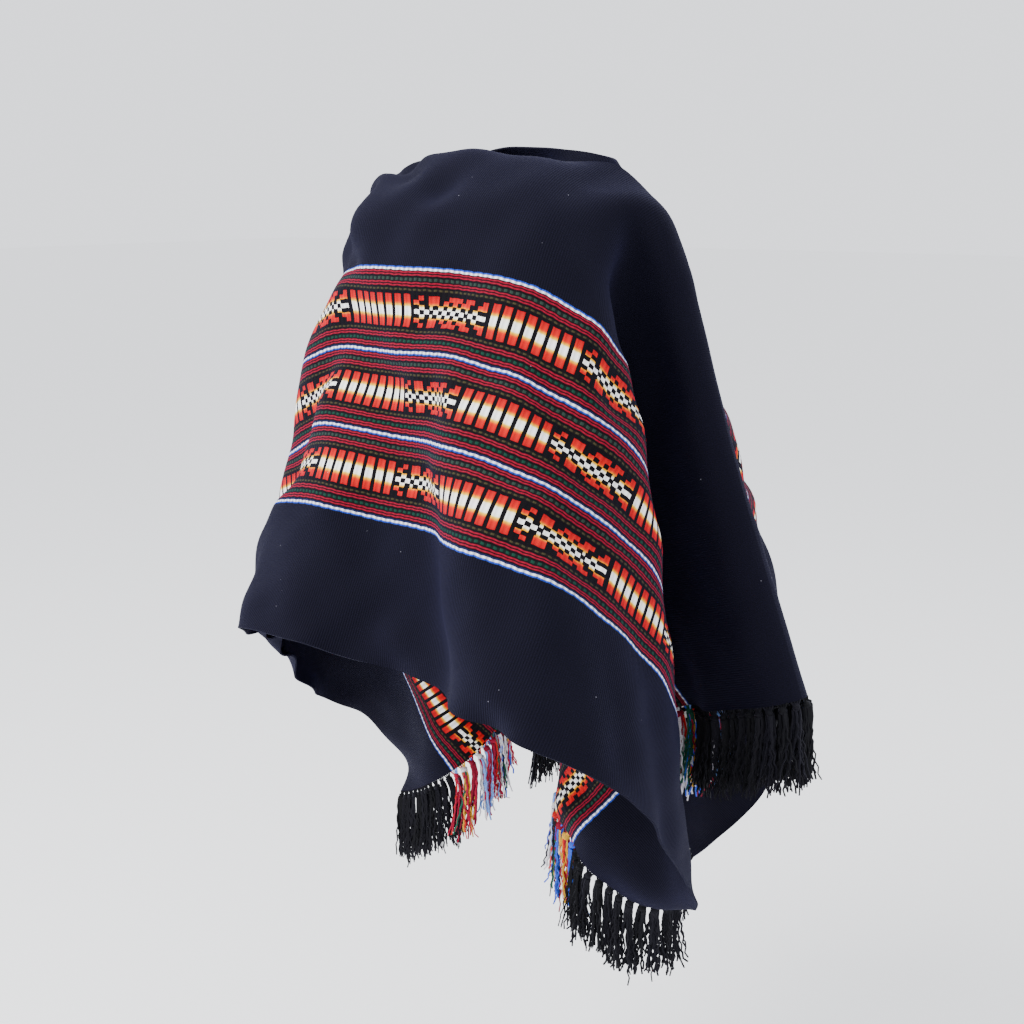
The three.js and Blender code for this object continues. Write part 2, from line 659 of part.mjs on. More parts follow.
// one lock: leaves the strip along the warp and turns down, with a small lean of its own
function lockSolid(half, side, n) {
  const spacing = (HALF_LENGTH - STRIP_INSET) / LOCKS_PER_EDGE;
  const { p, normal, edge, off } = edgeFrame(half, side, STRIP_INSET + spacing * (n + 0.5));
  const lean = LOCK_LEAN * Math.sin(2.4 * n + half + side);
  const sway = LOCK_SWAY * Math.sin(1.7 * n + 2 * half);
  const length = LOCK_LENGTH * (1 + LOCK_UNEVEN * Math.sin(3.1 * n));
  const down = new THREE.Vector3(0, 0, -1);
  const place = p.clone().addScaledVector(off, FRINGE_GAP + STRIP_WIDTH / 2);
  const rings = LOCK_RINGS.map(({ at, radius }, k) => {
    let way = off;
    if (k > 0) {
      const turn = Math.min(1, LOCK_TURN + at);
      way = off.clone().multiplyScalar(1 - turn).addScaledVector(down, turn)
        .addScaledVector(edge, lean).addScaledVector(normal, sway).normalize();
      place.addScaledVector(way, (at - LOCK_RINGS[k - 1].at) * length);
    }
    return ringAround(place, way, edge, radius);
  });
  return tubeSolid(rings);
}

// ring of a lock, square to its way, one corner along the edge
function ringAround(place, way, edge, radius) {
  const along = edge.clone().addScaledVector(way, -edge.dot(way)).normalize();
  const out = way.clone().cross(along);
  const ring = [];
  for (let k = 0; k < LOCK_SIDES; k += 1) {
    const angle = (2 * Math.PI * k) / LOCK_SIDES;
    ring.push(place.clone().addScaledVector(along, radius * Math.cos(angle))
      .addScaledVector(out, radius * Math.sin(angle)));
  }
  return ring;
}

// strip and locks of one warp end of one half, as one body
function fringeSolid(half, side) {
  const pieces = [stripSolid(half, side)];
  for (let n = 0; n < LOCKS_PER_EDGE; n += 1) pieces.push(lockSolid(half, side, n));
  return Manifold.union(pieces);
}

function namedMesh(name, solid, { colour, roughness }) {
  const { vertProperties, triVerts, numProp } = solid.getMesh();
  const positions = new Float32Array((vertProperties.length / numProp) * 3);
  for (let n = 0; n < positions.length / 3; n += 1) {
    for (let c = 0; c < 3; c += 1) positions[3 * n + c] = vertProperties[numProp * n + c];
  }
  const geometry = new THREE.BufferGeometry();
  geometry.setAttribute('position', new THREE.BufferAttribute(positions, 3));
  geometry.setIndex(Array.from(triVerts));
  geometry.computeVertexNormals();
  const material = new THREE.MeshStandardMaterial({ color: colour, roughness, metalness: 0 });
  const mesh = new THREE.Mesh(geometry, material);
  mesh.name = name;
  return mesh;
}

const CLOTH = { colour: 0x2a2632, roughness: 0.95 };
const FRINGE = { colour: 0x1d1b24, roughness: 0.9 };

const poncho = new THREE.Group();
poncho.name = 'poncho';
poncho.add(namedMesh('front_panel', panelBody(FRONT).solid(), CLOTH));
poncho.add(namedMesh('back_panel', panelBody(BACK).solid(), CLOTH));
poncho.add(namedMesh('fringe_front_left', fringeSolid(FRONT, 1), FRINGE));
poncho.add(namedMesh('fringe_back_left', fringeSolid(BACK, 1), FRINGE));
poncho.add(namedMesh('fringe_front_right', fringeSolid(FRONT, -1), FRINGE));
poncho.add(namedMesh('fringe_back_right', fringeSolid(BACK, -1), FRINGE));

export default poncho;
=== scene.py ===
"""Woven poncho as worn: two cloth halves joined at the shoulders, a head slit, knotted fringe."""
import math

import bpy
import numpy as np
from mathutils import Matrix


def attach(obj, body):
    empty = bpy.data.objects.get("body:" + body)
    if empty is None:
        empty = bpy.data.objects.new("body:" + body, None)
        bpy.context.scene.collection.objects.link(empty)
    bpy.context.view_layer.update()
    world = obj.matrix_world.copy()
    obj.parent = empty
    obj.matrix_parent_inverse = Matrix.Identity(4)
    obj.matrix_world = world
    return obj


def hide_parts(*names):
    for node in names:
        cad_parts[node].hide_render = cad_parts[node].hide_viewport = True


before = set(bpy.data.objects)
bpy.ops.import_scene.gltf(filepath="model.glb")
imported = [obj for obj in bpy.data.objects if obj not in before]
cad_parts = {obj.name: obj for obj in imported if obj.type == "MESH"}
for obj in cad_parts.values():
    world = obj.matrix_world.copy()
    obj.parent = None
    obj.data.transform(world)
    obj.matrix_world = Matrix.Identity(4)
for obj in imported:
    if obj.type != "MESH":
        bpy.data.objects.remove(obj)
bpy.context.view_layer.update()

# Sizes in millimetres. Flat cloth places are (u, v): u along the shoulder line, + to the
# wearer's left, v down from it, the same on the front half (0) and the back half (1).
CUT_WIDTH, HALF_LENGTH, SLIT_HALF = 1490.0, 598.0, 160.0
WALL = 2.2                     # drawn a little thinner than the solid cloth
COLUMNS, ROWS = 46, 20
DU, DV = CUT_WIDTH / COLUMNS, HALF_LENGTH / ROWS
FINE = 6                       # drawn steps in one lattice step
FRONT, BACK = 0, 1

# Each half hangs from a slit end as a fan of straight rulings.
# Columns: angle in the flat cloth from the shoulder line (degrees), outward and forward tilt.
FAN_FRONT_LEFT = np.array([
    (0, .43, .02), (6.3, .31, .05), (13.3, .18, .04), (28.3, -.08, .035), (33.5, -.09, .12),
    (46.2, .13, .105), (51.6, .21, .16), (58, .261, .27), (64.9, .277, .41),
    (72.5, .257, .571), (81.8, .1, .682), (90, -.03, .56)])
FAN_BACK_LEFT = np.array([
    (0, .43, .02), (8.3, .31, -.085), (16.4, .17, -.13), (31.8, -.1, -.135),
    (36.5, -.1, -.215), (46.9, .08, -.185), (52.4, .175, -.21), (57.6, .15, -.3),
    (63.3, .09, -.39), (70.2, .033, -.52), (78.1, -.116, -.553), (85, -.156, -.42),
    (90, -.08, -.36)])
FAN_FRONT_RIGHT = np.array([
    (0, .38, -.16), (11.1, .17, -.13), (30.1, -.163, -.12), (34.9, -.163, -.04),
    (51.7, .13, -.055), (56.9, .2, 0), (63.2, .225, .11), (71.3, .18, .25), (79, .1, .37),
    (85.6, .03, .48), (90, -.03, .55)])
FAN_BACK_RIGHT = np.array([
    (0, .38, -.16), (10.8, .2, -.25), (31.3, -.171, -.25), (35.9, -.171, -.33),
    (53.3, .15, -.34), (63.5, .345, -.37), (70.7, .318, -.511), (81.8, .1, -.534),
    (90, -.02, -.42)])
FANS = {(FRONT, 1): FAN_FRONT_LEFT, (FRONT, -1): FAN_FRONT_RIGHT,
        (BACK, 1): FAN_BACK_LEFT, (BACK, -1): FAN_BACK_RIGHT}
SLIT_END_HEIGHT = {1: -14.0, -1: -26.0}
SHOULDER_SPREAD, SPREAD_REACH = .15, 100.0
RULING_PARTS = 24              # straight steps in one ruling

# The centre line's tilt from the upright by distance down the cloth, and where it starts.
CENTRE = {
    FRONT: np.array([(0, .95), (120, .8), (220, .4), (340, .25), (480, .38), (625, .45)]),
    BACK: np.array([(0, .5), (120, .45), (240, .38), (625, .36)])}
NECK_AWAY = {FRONT: 46.0, BACK: 64.0}
NECK_HEIGHT = {FRONT: -14.0, BACK: 2.0}
CENTRE_FULLNESS = .8           # how widely the centre line's curve spreads to the slit ends

# Places that the settled cloth is drawn towards: half, u, v, x, y, z, pull.
HANDLES = [
    (0, 0, 0, 0, -44, -14, .3), (0, 90, 0, 88, -34, -20, .3), (0, -115, 30, -110, -34, -32, 1),
    (0, -65, 30, -63, -56, -12, .6), (0, 0, 30, 0, -66, -3, .6), (0, 65, 30, 65, -62, -10, .6),
    (0, -130, 90, -110, -70, -68, 1), (0, -65, 75, -62, -92, -42, .6),
    (0, -130, 150, -108, -104, -102, .8), (0, 0, 90, 0, -106, -50, .5),
    (0, 62, 231, 65, -168, -153, .6), (0, 62, 319, 66, -194, -242, .6),
    (0, 62, 407, 65, -213, -329, .6), (0, 267, 231, 218, -133, -239, .6),
    (0, 267, 319, 225, -185, -299, .6), (0, 267, 407, 233, -242, -357, .6),
    (0, 477, 407, 287, -96, -518, 1), (0, -103, 231, -105, -147, -149, 1),
    (0, -103, 319, -104, -171, -236, 1), (0, -103, 407, -98, -205, -320, 1),
    (0, 62, 187, 65, -163, -118, .6), (0, 267, 187, 207, -101, -207, .6),
    (0, 62, 451, 64, -220, -363, .6), (0, 267, 451, 241, -272, -382, .6),
    (0, 62, 598, 61, -255, -499, .6), (0, 267, 598, 242, -322, -501, .6),
    (0, 690, 598, 319, -89, -785, .6), (0, 745, 187, 252, 44, -614, .6),
    (0, 745, 451, 166, -84, -738, .6), (0, 745, 598, 274, -53, -785, .5),
    (0, 745, 0, 391, -11, -554, .6), (0, 677, 407, 173, -85, -675, .6),
    (0, 302, 187, 210, -58, -223, 1), (0, 345, 231, 228, -60, -286, 1),
    (0, 405, 319, 258, -73, -404, 1), (0, 525, 451, 295, -98, -572, .6),
    (0, -160, 187, -150, -75, -120, .8), (0, -115, 187, -108, -128, -117, .8),
    (0, -162, 451, -156, -205, -364, 1), (0, -165, 598, -143, -275, -501, 1),
    (0, -292, 400, -252, -114, -403, .6), (0, -215, 540, -185, -219, -487, .8),
    (0, -194, 568, -168, -244, -496, .8), (0, -235, 598, -186, -212, -508, .5),
    (0, -310, 598, -228, -150, -540, .5), (0, -400, 598, -248, -90, -600, .5),
    (0, -500, 598, -262, -30, -690, .4), (0, -745, 598, -262, 70, -850, .5),
    (1, 725, 598, 216, 125, -887, .3), (1, 590, 598, 281, 168, -764, .3),
    (1, 250, 187, 186, 86, -200, 1), (1, 259, 269, 190, 124, -270, 1),
    (1, 300, 359, 206, 160, -366, 1), (1, 356, 440, 226, 200, -462, .8),
    (0, 162, 0, 157, 4, -14, .5), (0, 212, 0, 203, 9, -48, 1)]

# How the lattice settles towards the lengths of the flat cut.
STEPS, SWEEPS = 120, 12
SAG = .15                      # drop added each step
CARRY, LARGEST_CARRY = .9, 10.0    # share of the last move that carries on, and its limit
SHEAR, BEND, HANDLE_HOLD = .35, .15, .5
LAYER_GAP, LAYER_REACH, LAYER_APART, LAYER_HOLD = 26.0, 45.0, 95.0, .25
HALVES_GAP, HALVES_GAP_MOST, HALVES_HOLD = 22.0, 44.0, .25
LAYER_SEARCH_EVERY = 15        # steps between two searches for near layers
LAYER_BLOCK = 400              # lattice points compared at a time in that search
GENTLE_EVERY = 3               # sweeps between two pulls of layers and handles
# How hard the lattice keeps to where it starts, by place.
ANCHOR_REST, ANCHOR_FRONT, ANCHOR_SHOULDER, ANCHOR_SLIT = .006, .002, .01, .3
ANCHOR_FRONT_FROM = -170       # the front's looser anchors start at this u
ANCHOR_SLIT_PAST = 5           # the slit's firm anchors reach this far past its ends

U = np.linspace(-CUT_WIDTH / 2, CUT_WIDTH / 2, COLUMNS + 1)
V = np.linspace(0, HALF_LENGTH, ROWS + 1)
JOINED = np.abs(U) >= SLIT_HALF - 1
NUMBER = np.arange(2 * U.size * V.size).reshape(2, U.size, V.size)


def cubic_through(rows, x):
    """Smooth cubic through a table's rows; a row's slope is the mean of the rises beside it,
    each weighted by the other's length."""
    at, values = rows[:, 0], rows[:, 1:]
    step = np.diff(at)
    rise = np.diff(values, axis=0) / step[:, None]
    inner = ((rise[:-1] * step[1:, None] + rise[1:] * step[:-1, None])
             / (step[1:] + step[:-1])[:, None])
    slope = np.vstack([rise[:1], inner, rise[-1:]])
    k = np.clip(np.searchsorted(at, x, side="right") - 1, 0, len(step) - 1)
    t, h = ((x - at[k]) / step[k])[..., None], step[k][..., None]
    return ((1 + 2 * t) * (1 - t) ** 2 * values[k] + t * (1 - t) ** 2 * h * slope[k]
            + t * t * (3 - 2 * t) * values[k + 1] + t * t * (t - 1) * h * slope[k + 1])


def ruling(side, length, tilt):
    """Ends of rulings from a slit end: short steps along (outward, forward, down), a little
    flatter near the shoulder, so that the whole is as long as the flat cloth."""
    parts = (np.arange(RULING_PARTS) + .5) / RULING_PARTS
    flatter = 1 + SHOULDER_SPREAD * np.exp(-length[..., None] * parts / SPREAD_REACH)
    out, forward = tilt[..., :1] * flatter, tilt[..., 1:] * flatter
    step = length[..., None] / RULING_PARTS / np.sqrt(1 + out ** 2 + forward ** 2)
    return np.stack([side * (SLIT_HALF + (out * step).sum(-1)), -(forward * step).sum(-1),
                     SLIT_END_HEIGHT[side] - step.sum(-1)], -1)


def fan_places(half):
    """Where a half lies before it settles: fans of rulings beside the slit, and between the
    slit's ends a straight web blended with the curved centre line."""
    u, v = np.meshgrid(U, V, indexing="ij")
    places = np.zeros(u.shape + (3,))
    for side in (1, -1):
        part = u * side >= SLIT_HALF
        along = np.abs(u[part]) - SLIT_HALF
        angle = np.degrees(np.arctan2(v[part], np.maximum(along, 1e-9)))
        places[part] = ruling(side, np.hypot(along, v[part]),
                              cubic_through(FANS[half, side], angle))
    part = np.abs(u) < SLIT_HALF
    ends = [ruling(side, v[part], np.broadcast_to(FANS[half, side][-1, 1:], (part.sum(), 2)))
            for side in (-1, 1)]
    share = ((u[part] / SLIT_HALF + 1) / 2)[:, None]
    web = ends[0] * (1 - share) + ends[1] * share
    table = CENTRE[half]
    down = v[part][:, None]
    tilt = np.interp(down * (np.arange(RULING_PARTS) + .5) / RULING_PARTS,
                     table[:, 0], table[:, 1])
    step = down / RULING_PARTS / np.sqrt(1 + tilt ** 2)
    away = NECK_AWAY[half] + (tilt * step).sum(-1)
    line = np.stack([web[:, 0], -away if half == FRONT else away,
                     NECK_HEIGHT[half] - step.sum(-1)], -1)
    middle = ((1 - (u[part] / SLIT_HALF) ** 2) ** CENTRE_FULLNESS)[:, None]
    places[part] = web * (1 - middle) + line * middle
    return places


def link_batch(di, dj, rest, hold, odd, stride=1):
    """Links from (i, j) to (i + di, j + dj) whose start lies in an even or odd group."""
    i, j = np.arange(U.size - di), np.arange(max(0, -dj), V.size - max(0, dj))
    i, j = (i[i // stride % 2 == odd], j) if di else (i, j[j // stride % 2 == odd])
    starts = NUMBER[:, i][:, :, j].ravel()
    ends = NUMBER[:, i + di][:, :, j + dj].ravel()
    return starts, ends, rest, hold


def all_links():
    """Every link of the cloth: along u, along v, across the meshes, over 2 and 4 steps
    against bending, and over the shoulder line."""
    links = [link_batch(1, 0, DU, 1, s) for s in (0, 1)]
    links += [link_batch(0, 1, DV, 1, s) for s in (0, 1)]
    links += [link_batch(1, d, math.hypot(DU, DV), SHEAR, s) for s in (0, 1) for d in (1, -1)]
    for h in (2, 4):
        for s in (0, 1):
            links.append(link_batch(h, 0, h * DU, BEND, s, h))
            links.append(link_batch(0, h, h * DV, BEND, s, h))
    links.append((NUMBER[FRONT, JOINED, 1], NUMBER[BACK, JOINED, 1], 2 * DV, BEND))
    return links


def layer_pairs(places):
    """Lattice points near each other in space whose flat places are far apart."""
    u, v = np.meshgrid(U, V, indexing="ij")
    flat = np.stack([np.stack([u, u]), np.stack([v, -v])], -1).reshape(-1, 2)
    first, second = [], []
    for start in range(0, len(places), LAYER_BLOCK):
        block = slice(start, start + LAYER_BLOCK)
        near = np.linalg.norm(places[block, None] - places[None], axis=-1) < LAYER_REACH
        apart = np.abs(flat[block, None] - flat[None]).max(-1) > LAYER_APART
        a, b = np.nonzero(near & apart)
        keep = a + start < b
        first.append(a[keep] + start)
        second.append(b[keep])
    return np.concatenate(first), np.concatenate(second)


def part_layers(places, pairs):
    """Moves each pair of layers apart by a share of what they lack of the layer gap."""
    first, second = pairs
    apart = places[second] - places[first]
    length = np.linalg.norm(apart, axis=-1, keepdims=True)
    move = apart * (LAYER_HOLD * np.minimum(length - LAYER_GAP, 0) / np.maximum(length, 1e-6))
    np.add.at(places, first, move)
    np.add.at(places, second, -move)


def handle_corners():
    """For each handle its four lattice points, their weights and where they are drawn."""
    rows = []
    for half, u, v, x, y, z, pull in HANDLES:
        fu, fv = (u + CUT_WIDTH / 2) / DU, v / DV
        i, j = min(int(fu), COLUMNS - 1), min(int(fv), ROWS - 1)
        a, b = fu - i, fv - j
        weights = np.array([(1 - a) * (1 - b), a * (1 - b), (1 - a) * b, a * b])
        rows.append((NUMBER[half, i:i + 2, j:j + 2].T.ravel(), weights,
                     np.array([x, y, z], float), pull))
    return rows


def settle():
    """The settled lattice: links, layers, handles and anchors are met in turn, many times,
    until the cloth has the lengths of its flat cut in the hanging pose."""
    start = np.stack([fan_places(FRONT), fan_places(BACK)])
    hold = np.full(start.shape[:3] + (1,), ANCHOR_REST)
    hold[FRONT, U > ANCHOR_FRONT_FROM] = ANCHOR_FRONT
    hold[:, JOINED, 0] = ANCHOR_SHOULDER
    hold[:, np.abs(U) < SLIT_HALF + ANCHOR_SLIT_PAST, 0] = ANCHOR_SLIT
    links, handles = all_links(), handle_corners()
    least = np.minimum(HALVES_GAP * np.arange(1, ROWS + 1), HALVES_GAP_MOST)
    places = start.reshape(-1, 3).copy()
    start, hold, before = start.reshape(-1, 3), hold.reshape(-1, 1), places.copy()
    seam_front, seam_back = NUMBER[FRONT, JOINED, 0], NUMBER[BACK, JOINED, 0]
    front, back = NUMBER[FRONT, JOINED, 1:], NUMBER[BACK, JOINED, 1:]
    for turn in range(STEPS):
        carry = (places - before) * CARRY
        size = np.linalg.norm(carry, axis=-1, keepdims=True)
        before = places
        places = places + carry * np.minimum(1, LARGEST_CARRY / np.maximum(size, 1e-9))
        places[:, 2] -= SAG
        if turn % LAYER_SEARCH_EVERY == 0:
            pairs = layer_pairs(places)
        for sweep in range(SWEEPS):
            for a, b, rest, strength in links:
                apart = places[b] - places[a]
                length = np.sqrt((apart * apart).sum(-1, keepdims=True))
                apart *= .5 * strength * (length - rest) / np.maximum(length, 1e-9)
                places[a] += apart
                places[b] -= apart
            middle = (places[seam_front] + places[seam_back]) / 2
            places[seam_front] = places[seam_back] = middle
            if sweep % GENTLE_EVERY == 0:
                part_layers(places, pairs)
                for corners, weights, goal, pull in handles:
                    move = (goal - weights @ places[corners]) * (pull * HANDLE_HOLD)
                    places[corners] += move * (weights / (weights @ weights))[:, None]
            places += (start - places) * hold
            short = np.clip(least - (places[back, 1] - places[front, 1]), 0, None)
            short *= HALVES_HOLD
            places[front, 1] -= short
            places[back, 1] += short
    return places.reshape(2, U.size, V.size, 3)


def spline_weights(nodes, steps):
    """Weights of the cubic B-spline that passes through even nodes, at steps places from one
    node to the next; past each end the nodes go on straight."""
    def basis(t):
        i = np.clip(t.astype(int), 0, nodes - 2)
        f = t - i
        parts = np.stack([(1 - f) ** 3, 3 * f ** 3 - 6 * f ** 2 + 4,
                          -3 * f ** 3 + 3 * f ** 2 + 3 * f + 1, f ** 3], -1) / 6
        table = np.zeros((len(t), nodes + 2))
        table[np.arange(len(t))[:, None], i[:, None] + np.arange(4)] = parts
        table[:, 1] += 2 * table[:, 0]
        table[:, 2] -= table[:, 0]
        table[:, -2] += 2 * table[:, -1]
        table[:, -3] -= table[:, -1]
        return table[:, 1:-1]
    fine = np.linspace(0, nodes - 1, (nodes - 1) * steps + 1)
    return basis(fine) @ np.linalg.inv(basis(np.arange(nodes, dtype=float)))


SHOULDER_BLEND = 90            # from a slit end to where both halves share one spline
SHOULDER_EVEN = 60             # below the shoulder line the halves' u lines part over this


def smoothed(lattice):
    """The lattice drawn finely: each half by its own spline, turning into one spline over
    both halves away from the slit, and one shared shoulder line beside the slit."""
    along, down = spline_weights(U.size, FINE), spline_weights(V.size, FINE)
    halves = np.einsum("ai,bj,kijc->kabc", along, down, lattice)
    whole = np.concatenate([lattice[BACK][:, :0:-1], lattice[FRONT]], 1)
    both = np.einsum("ai,bj,ijc->abc", along, spline_weights(2 * V.size - 1, FINE), whole)
    middle = (V.size - 1) * FINE
    over = np.stack([both[:, middle:], both[:, middle::-1]])
    u = np.linspace(U[0], U[-1], along.shape[0])
    share = np.clip((np.abs(u) - SLIT_HALF) / SHOULDER_BLEND, 0, 1)
    share = (share * share * (3 - 2 * share))[None, :, None, None]
    halves = halves * (1 - share) + over * share
    joined = np.abs(u) >= SLIT_HALF
    v = np.linspace(0, HALF_LENGTH, halves.shape[2])
    fade = np.clip(1 - v / SHOULDER_EVEN, 0, 1)[None, :, None]
    apart = (halves[FRONT, joined, :1] - halves[BACK, joined, :1]) / 2
    halves[FRONT, joined] -= apart * fade
    halves[BACK, joined] += apart * fade
    return u, v, halves, joined


# Creases listed for the front half and similar ones on the back: flat start and end,
# half width, depth (+ out, - in), bow sideways, all in mm.
CREASES = {
    FRONT: [
        (-60, 470, -190, 598, 26, -3.5, 10), (-30, 455, -150, 592, 20, 2.6, 8),
        (215, 395, 262, 560, 24, -4.5, -8), (250, 420, 300, 598, 18, 3.0, 6),
        (150, 60, 215, 330, 30, -5.0, 14), (118, 30, 120, 300, 34, 2.4, 12),
        (-120, 30, -235, 300, 26, -3.4, -10), (-330, 260, -420, 560, 30, -5.0, 12),
        (-260, 220, -330, 520, 26, 3.2, 10), (430, 200, 560, 330, 24, -3.2, -8),
        (560, 420, 690, 590, 22, 2.6, 8), (330, 470, 400, 598, 22, -3.0, 6),
        (-480, 300, -600, 560, 30, 3.5, -10), (20, 500, 60, 598, 24, 2.2, 4)],
    BACK: [
        (-90, 60, -160, 380, 30, -4.0, 12), (100, 80, 190, 420, 34, -4.5, -12),
        (20, 140, 40, 470, 30, 2.6, 10), (300, 200, 420, 520, 28, -4.0, 10),
        (-300, 180, -400, 540, 30, -4.4, -12), (-210, 260, -250, 560, 24, 2.8, 8),
        (480, 260, 620, 520, 26, 3.0, -8), (-520, 300, -640, 560, 26, -3.0, 8),
        (210, 330, 250, 598, 22, 2.6, 6)]}
CREASE_END = 40                # a crease dies away over this past its ends
# The cloth's own unevenness: wavelengths along u and v (mm; a minus sign slants the wave
# the other way), phase, height (mm). The back's waves start further round.
UNEVEN = [(118, 171, .7, 0.9), (83, -131, 2.1, .65), (61, 97, 4.0, .4), (210, -260, 1.3, 1.3)]
UNEVEN_BACK_PHASE = 1.7
EDGE_CURL, EDGE_CURL_REACH = 1.6, 9    # hems stand this proud, over this much cloth
SLIT_CURL, SLIT_CURL_REACH, SLIT_CURL_ENDS = .8 * EDGE_CURL, 7, 30
RELIEF_FROM = 45               # relief grows in over this below the shoulder line


def relief(half, u, v):
    """Height over the smooth form: each crease is a soft bell across a bowed line that fades
    towards both ends, on top of a few crossing waves and a small curl at the open edges."""
    high = np.zeros(u.shape)
    for u0, v0, u1, v1, width, depth, bow in CREASES[half]:
        length = math.hypot(u1 - u0, v1 - v0)
        au, av = (u1 - u0) / length, (v1 - v0) / length
        along = ((u - u0) * au + (v - v0) * av) / length
        side = (u - u0) * av - (v - v0) * au - bow * np.sin(math.pi * np.clip(along, 0, 1))
        inside = np.clip(along, 0, 1)
        fade = np.sin(math.pi * (inside * .92 + .04)) ** .8
        past = np.maximum(np.maximum(-along, along - 1), 0) * length
        high += depth * fade * np.exp(-(side / width) ** 2) * np.exp(-(past / CREASE_END) ** 2)
    turn = UNEVEN_BACK_PHASE * half
    for lu, lv, phase, size in UNEVEN:
        high += size * np.sin(2 * math.pi * (u / lu + v / lv) + phase + turn)
    high += EDGE_CURL * np.exp(-(HALF_LENGTH - v) / EDGE_CURL_REACH)
    slit = np.clip((SLIT_HALF - np.abs(u)) / SLIT_CURL_ENDS, 0, 1)
    return high + SLIT_CURL * slit * np.exp(-v / SLIT_CURL_REACH)


def unit(vectors):
    """The vectors at length 1."""
    return vectors / np.maximum(np.linalg.norm(vectors, axis=-1, keepdims=True), 1e-12)


def normals_of(surface, half):
    """Outward normals: the cross product of the steps down and along the cloth."""
    normal = np.cross(np.gradient(surface, axis=1), np.gradient(surface, axis=0))
    return unit(normal if half == FRONT else -normal)


def cloth_surfaces():
    """Both halves' middle surfaces and normals, shared on the shoulder line."""
    u, v, halves, joined = smoothed(settle())
    grid_u, grid_v = np.meshgrid(u, v, indexing="ij")
    normals = np.stack([normals_of(halves[half], half) for half in (FRONT, BACK)])
    shared = unit(normals[FRONT, joined, 0] + normals[BACK, joined, 0])
    normals[FRONT, joined, 0] = normals[BACK, joined, 0] = shared
    keep = np.clip(np.where(joined[:, None], grid_v / RELIEF_FROM, 1), 0, 1)
    for half in (FRONT, BACK):
        high = relief(half, grid_u, grid_v) * keep
        halves[half] += normals[half] * high[..., None]
        normals[half] = normals_of(halves[half], half)
    shared = unit(normals[FRONT, joined, 0] + normals[BACK, joined, 0])
    normals[FRONT, joined, 0] = normals[BACK, joined, 0] = shared
    return grid_u, grid_v, halves, normals


SHARP_ANGLE = math.radians(62)     # edges that bend more than this are shaded sharp


def new_mesh(name, places, faces):
    """Smooth-shaded object at the origin from points in mm and faces with equal corners."""
    mesh = bpy.data.meshes.new(name)
    points, corners = places.reshape(-1, 3) / 1000, faces.shape[1]
    mesh.vertices.add(len(points))
    mesh.vertices.foreach_set("co", points.astype(np.float32).ravel())
    mesh.loops.add(faces.size)
    mesh.loops.foreach_set("vertex_index", faces.astype(np.int32).ravel())
    mesh.polygons.add(len(faces))
    mesh.polygons.foreach_set("loop_start", np.arange(0, faces.size, corners, dtype=np.int32))
    mesh.update(calc_edges=True)
    mesh.validate()
    piece = bpy.data.objects.new(name, mesh)
    bpy.context.collection.objects.link(piece)
    mesh.shade_smooth()
    mesh.set_sharp_from_angle(angle=SHARP_ANGLE)
    return piece


def grid_faces(number):
    """Quads of a numbered grid, turned from the first axis to the second."""
    return np.stack([number[:-1, :-1], number[:-1, 1:], number[1:, 1:], number[1:, :-1]],
                    -1).reshape(-1, 4)


def cloth_half(half, u, v, surface, normals):
    """Closed wall: the middle surface moved out and in by half the cloth, rims between."""
    outer, inner = surface + normals * WALL / 2, surface - normals * WALL / 2
    number = np.arange(2 * u.size).reshape(2, *u.shape)
    rim = np.concatenate([number[:, :-1, 0], number[:, -1, :-1], number[:, :0:-1, -1],
                          number[:, 0, :0:-1]], 1)
    rim = np.concatenate([rim, rim[:, :1]], 1)
    faces = np.concatenate([grid_faces(number[0]), grid_faces(number[1])[:, ::-1],
                            grid_faces(rim)[:, ::-1]])
    if half == BACK:
        faces = faces[:, ::-1]
    piece = new_mesh("cloth_front" if half == FRONT else "cloth_back",
                     np.stack([outer, inner]), faces)
    flat = np.stack([np.stack([u, u]), np.stack([v, v])], -1).reshape(-1, 2) / 1000
    layer = piece.data.uv_layers.new(name="flat_cloth")
    corner = np.empty(len(piece.data.loops), dtype=np.int32)
    piece.data.loops.foreach_get("vertex_index", corner)
    layer.data.foreach_set("uv", flat[corner].astype(np.float32).ravel())
    return piece


# The fringe, in mm.
KNOTS_PER_EDGE = 46
FIRST_KNOT = .55               # first knot from the shoulder line, as a share of a knot's step
LEGS, LEG_POINTS, LEG_RADIUS = 4, 4, 1.15
LEG_SPREAD = .42               # outer legs from the knot's line, as a share of a knot's step
LEG_GATHER = .22               # share of that spread which is left at the knot
LEG_INSIDE = .8                # legs start this far inside the cloth's end
KNOT_DROP, KNOT_DROP_UNEVEN = 8.0, .7      # from the cloth's end to the middle of the knot
KNOT_OFF, KNOT_DOWN = .62, .38             # how far legs go on off the end, and hang
KNOT_RADIUS, KNOT_RADIUS_UNEVEN = 4.6, .09
KNOT_HALF, KNOT_POINTS, KNOT_SIDES = 4.2, 7, 8
KNOT_TILT, KNOT_RIPPLE = .22, .12
STRANDS = 17                   # yarns that hang from one knot
STRAND_LENGTH, STRAND_UNEVEN = 84.0, .055
SHORT_STRANDS, SHORT_BY = .85, .1          # past this share of the draws a yarn is shorter
STRAND_RADIUS, STRAND_RADIUS_UNEVEN, STRAND_TAPER = 1.4, .1, .35
STRAND_RING, STRAND_START = 3.6, 2         # yarns leave the knot in a ring, below its middle
STRAND_POINTS, STRAND_SIDES = 13, 4
SHEAF_LEAN, SHEAF_OUT = .07, .6            # lean that all yarns of a knot share, less outwards
LEAN_ALONG, LEAN_OUT = .12, .08            # each yarn's own lean along the end and out of it
LEAN_START = .35               # a yarn's lean at the knot; it grows by 1 to its end
TURN_START, TURN_RATE = .35, 2.6           # a yarn's turn downwards at the knot and after
WAVE_ALONG, WAVE_OUT, WAVE_GROWTH = 1.3, 1.1, 3    # how far a yarn waves, and how soon fully
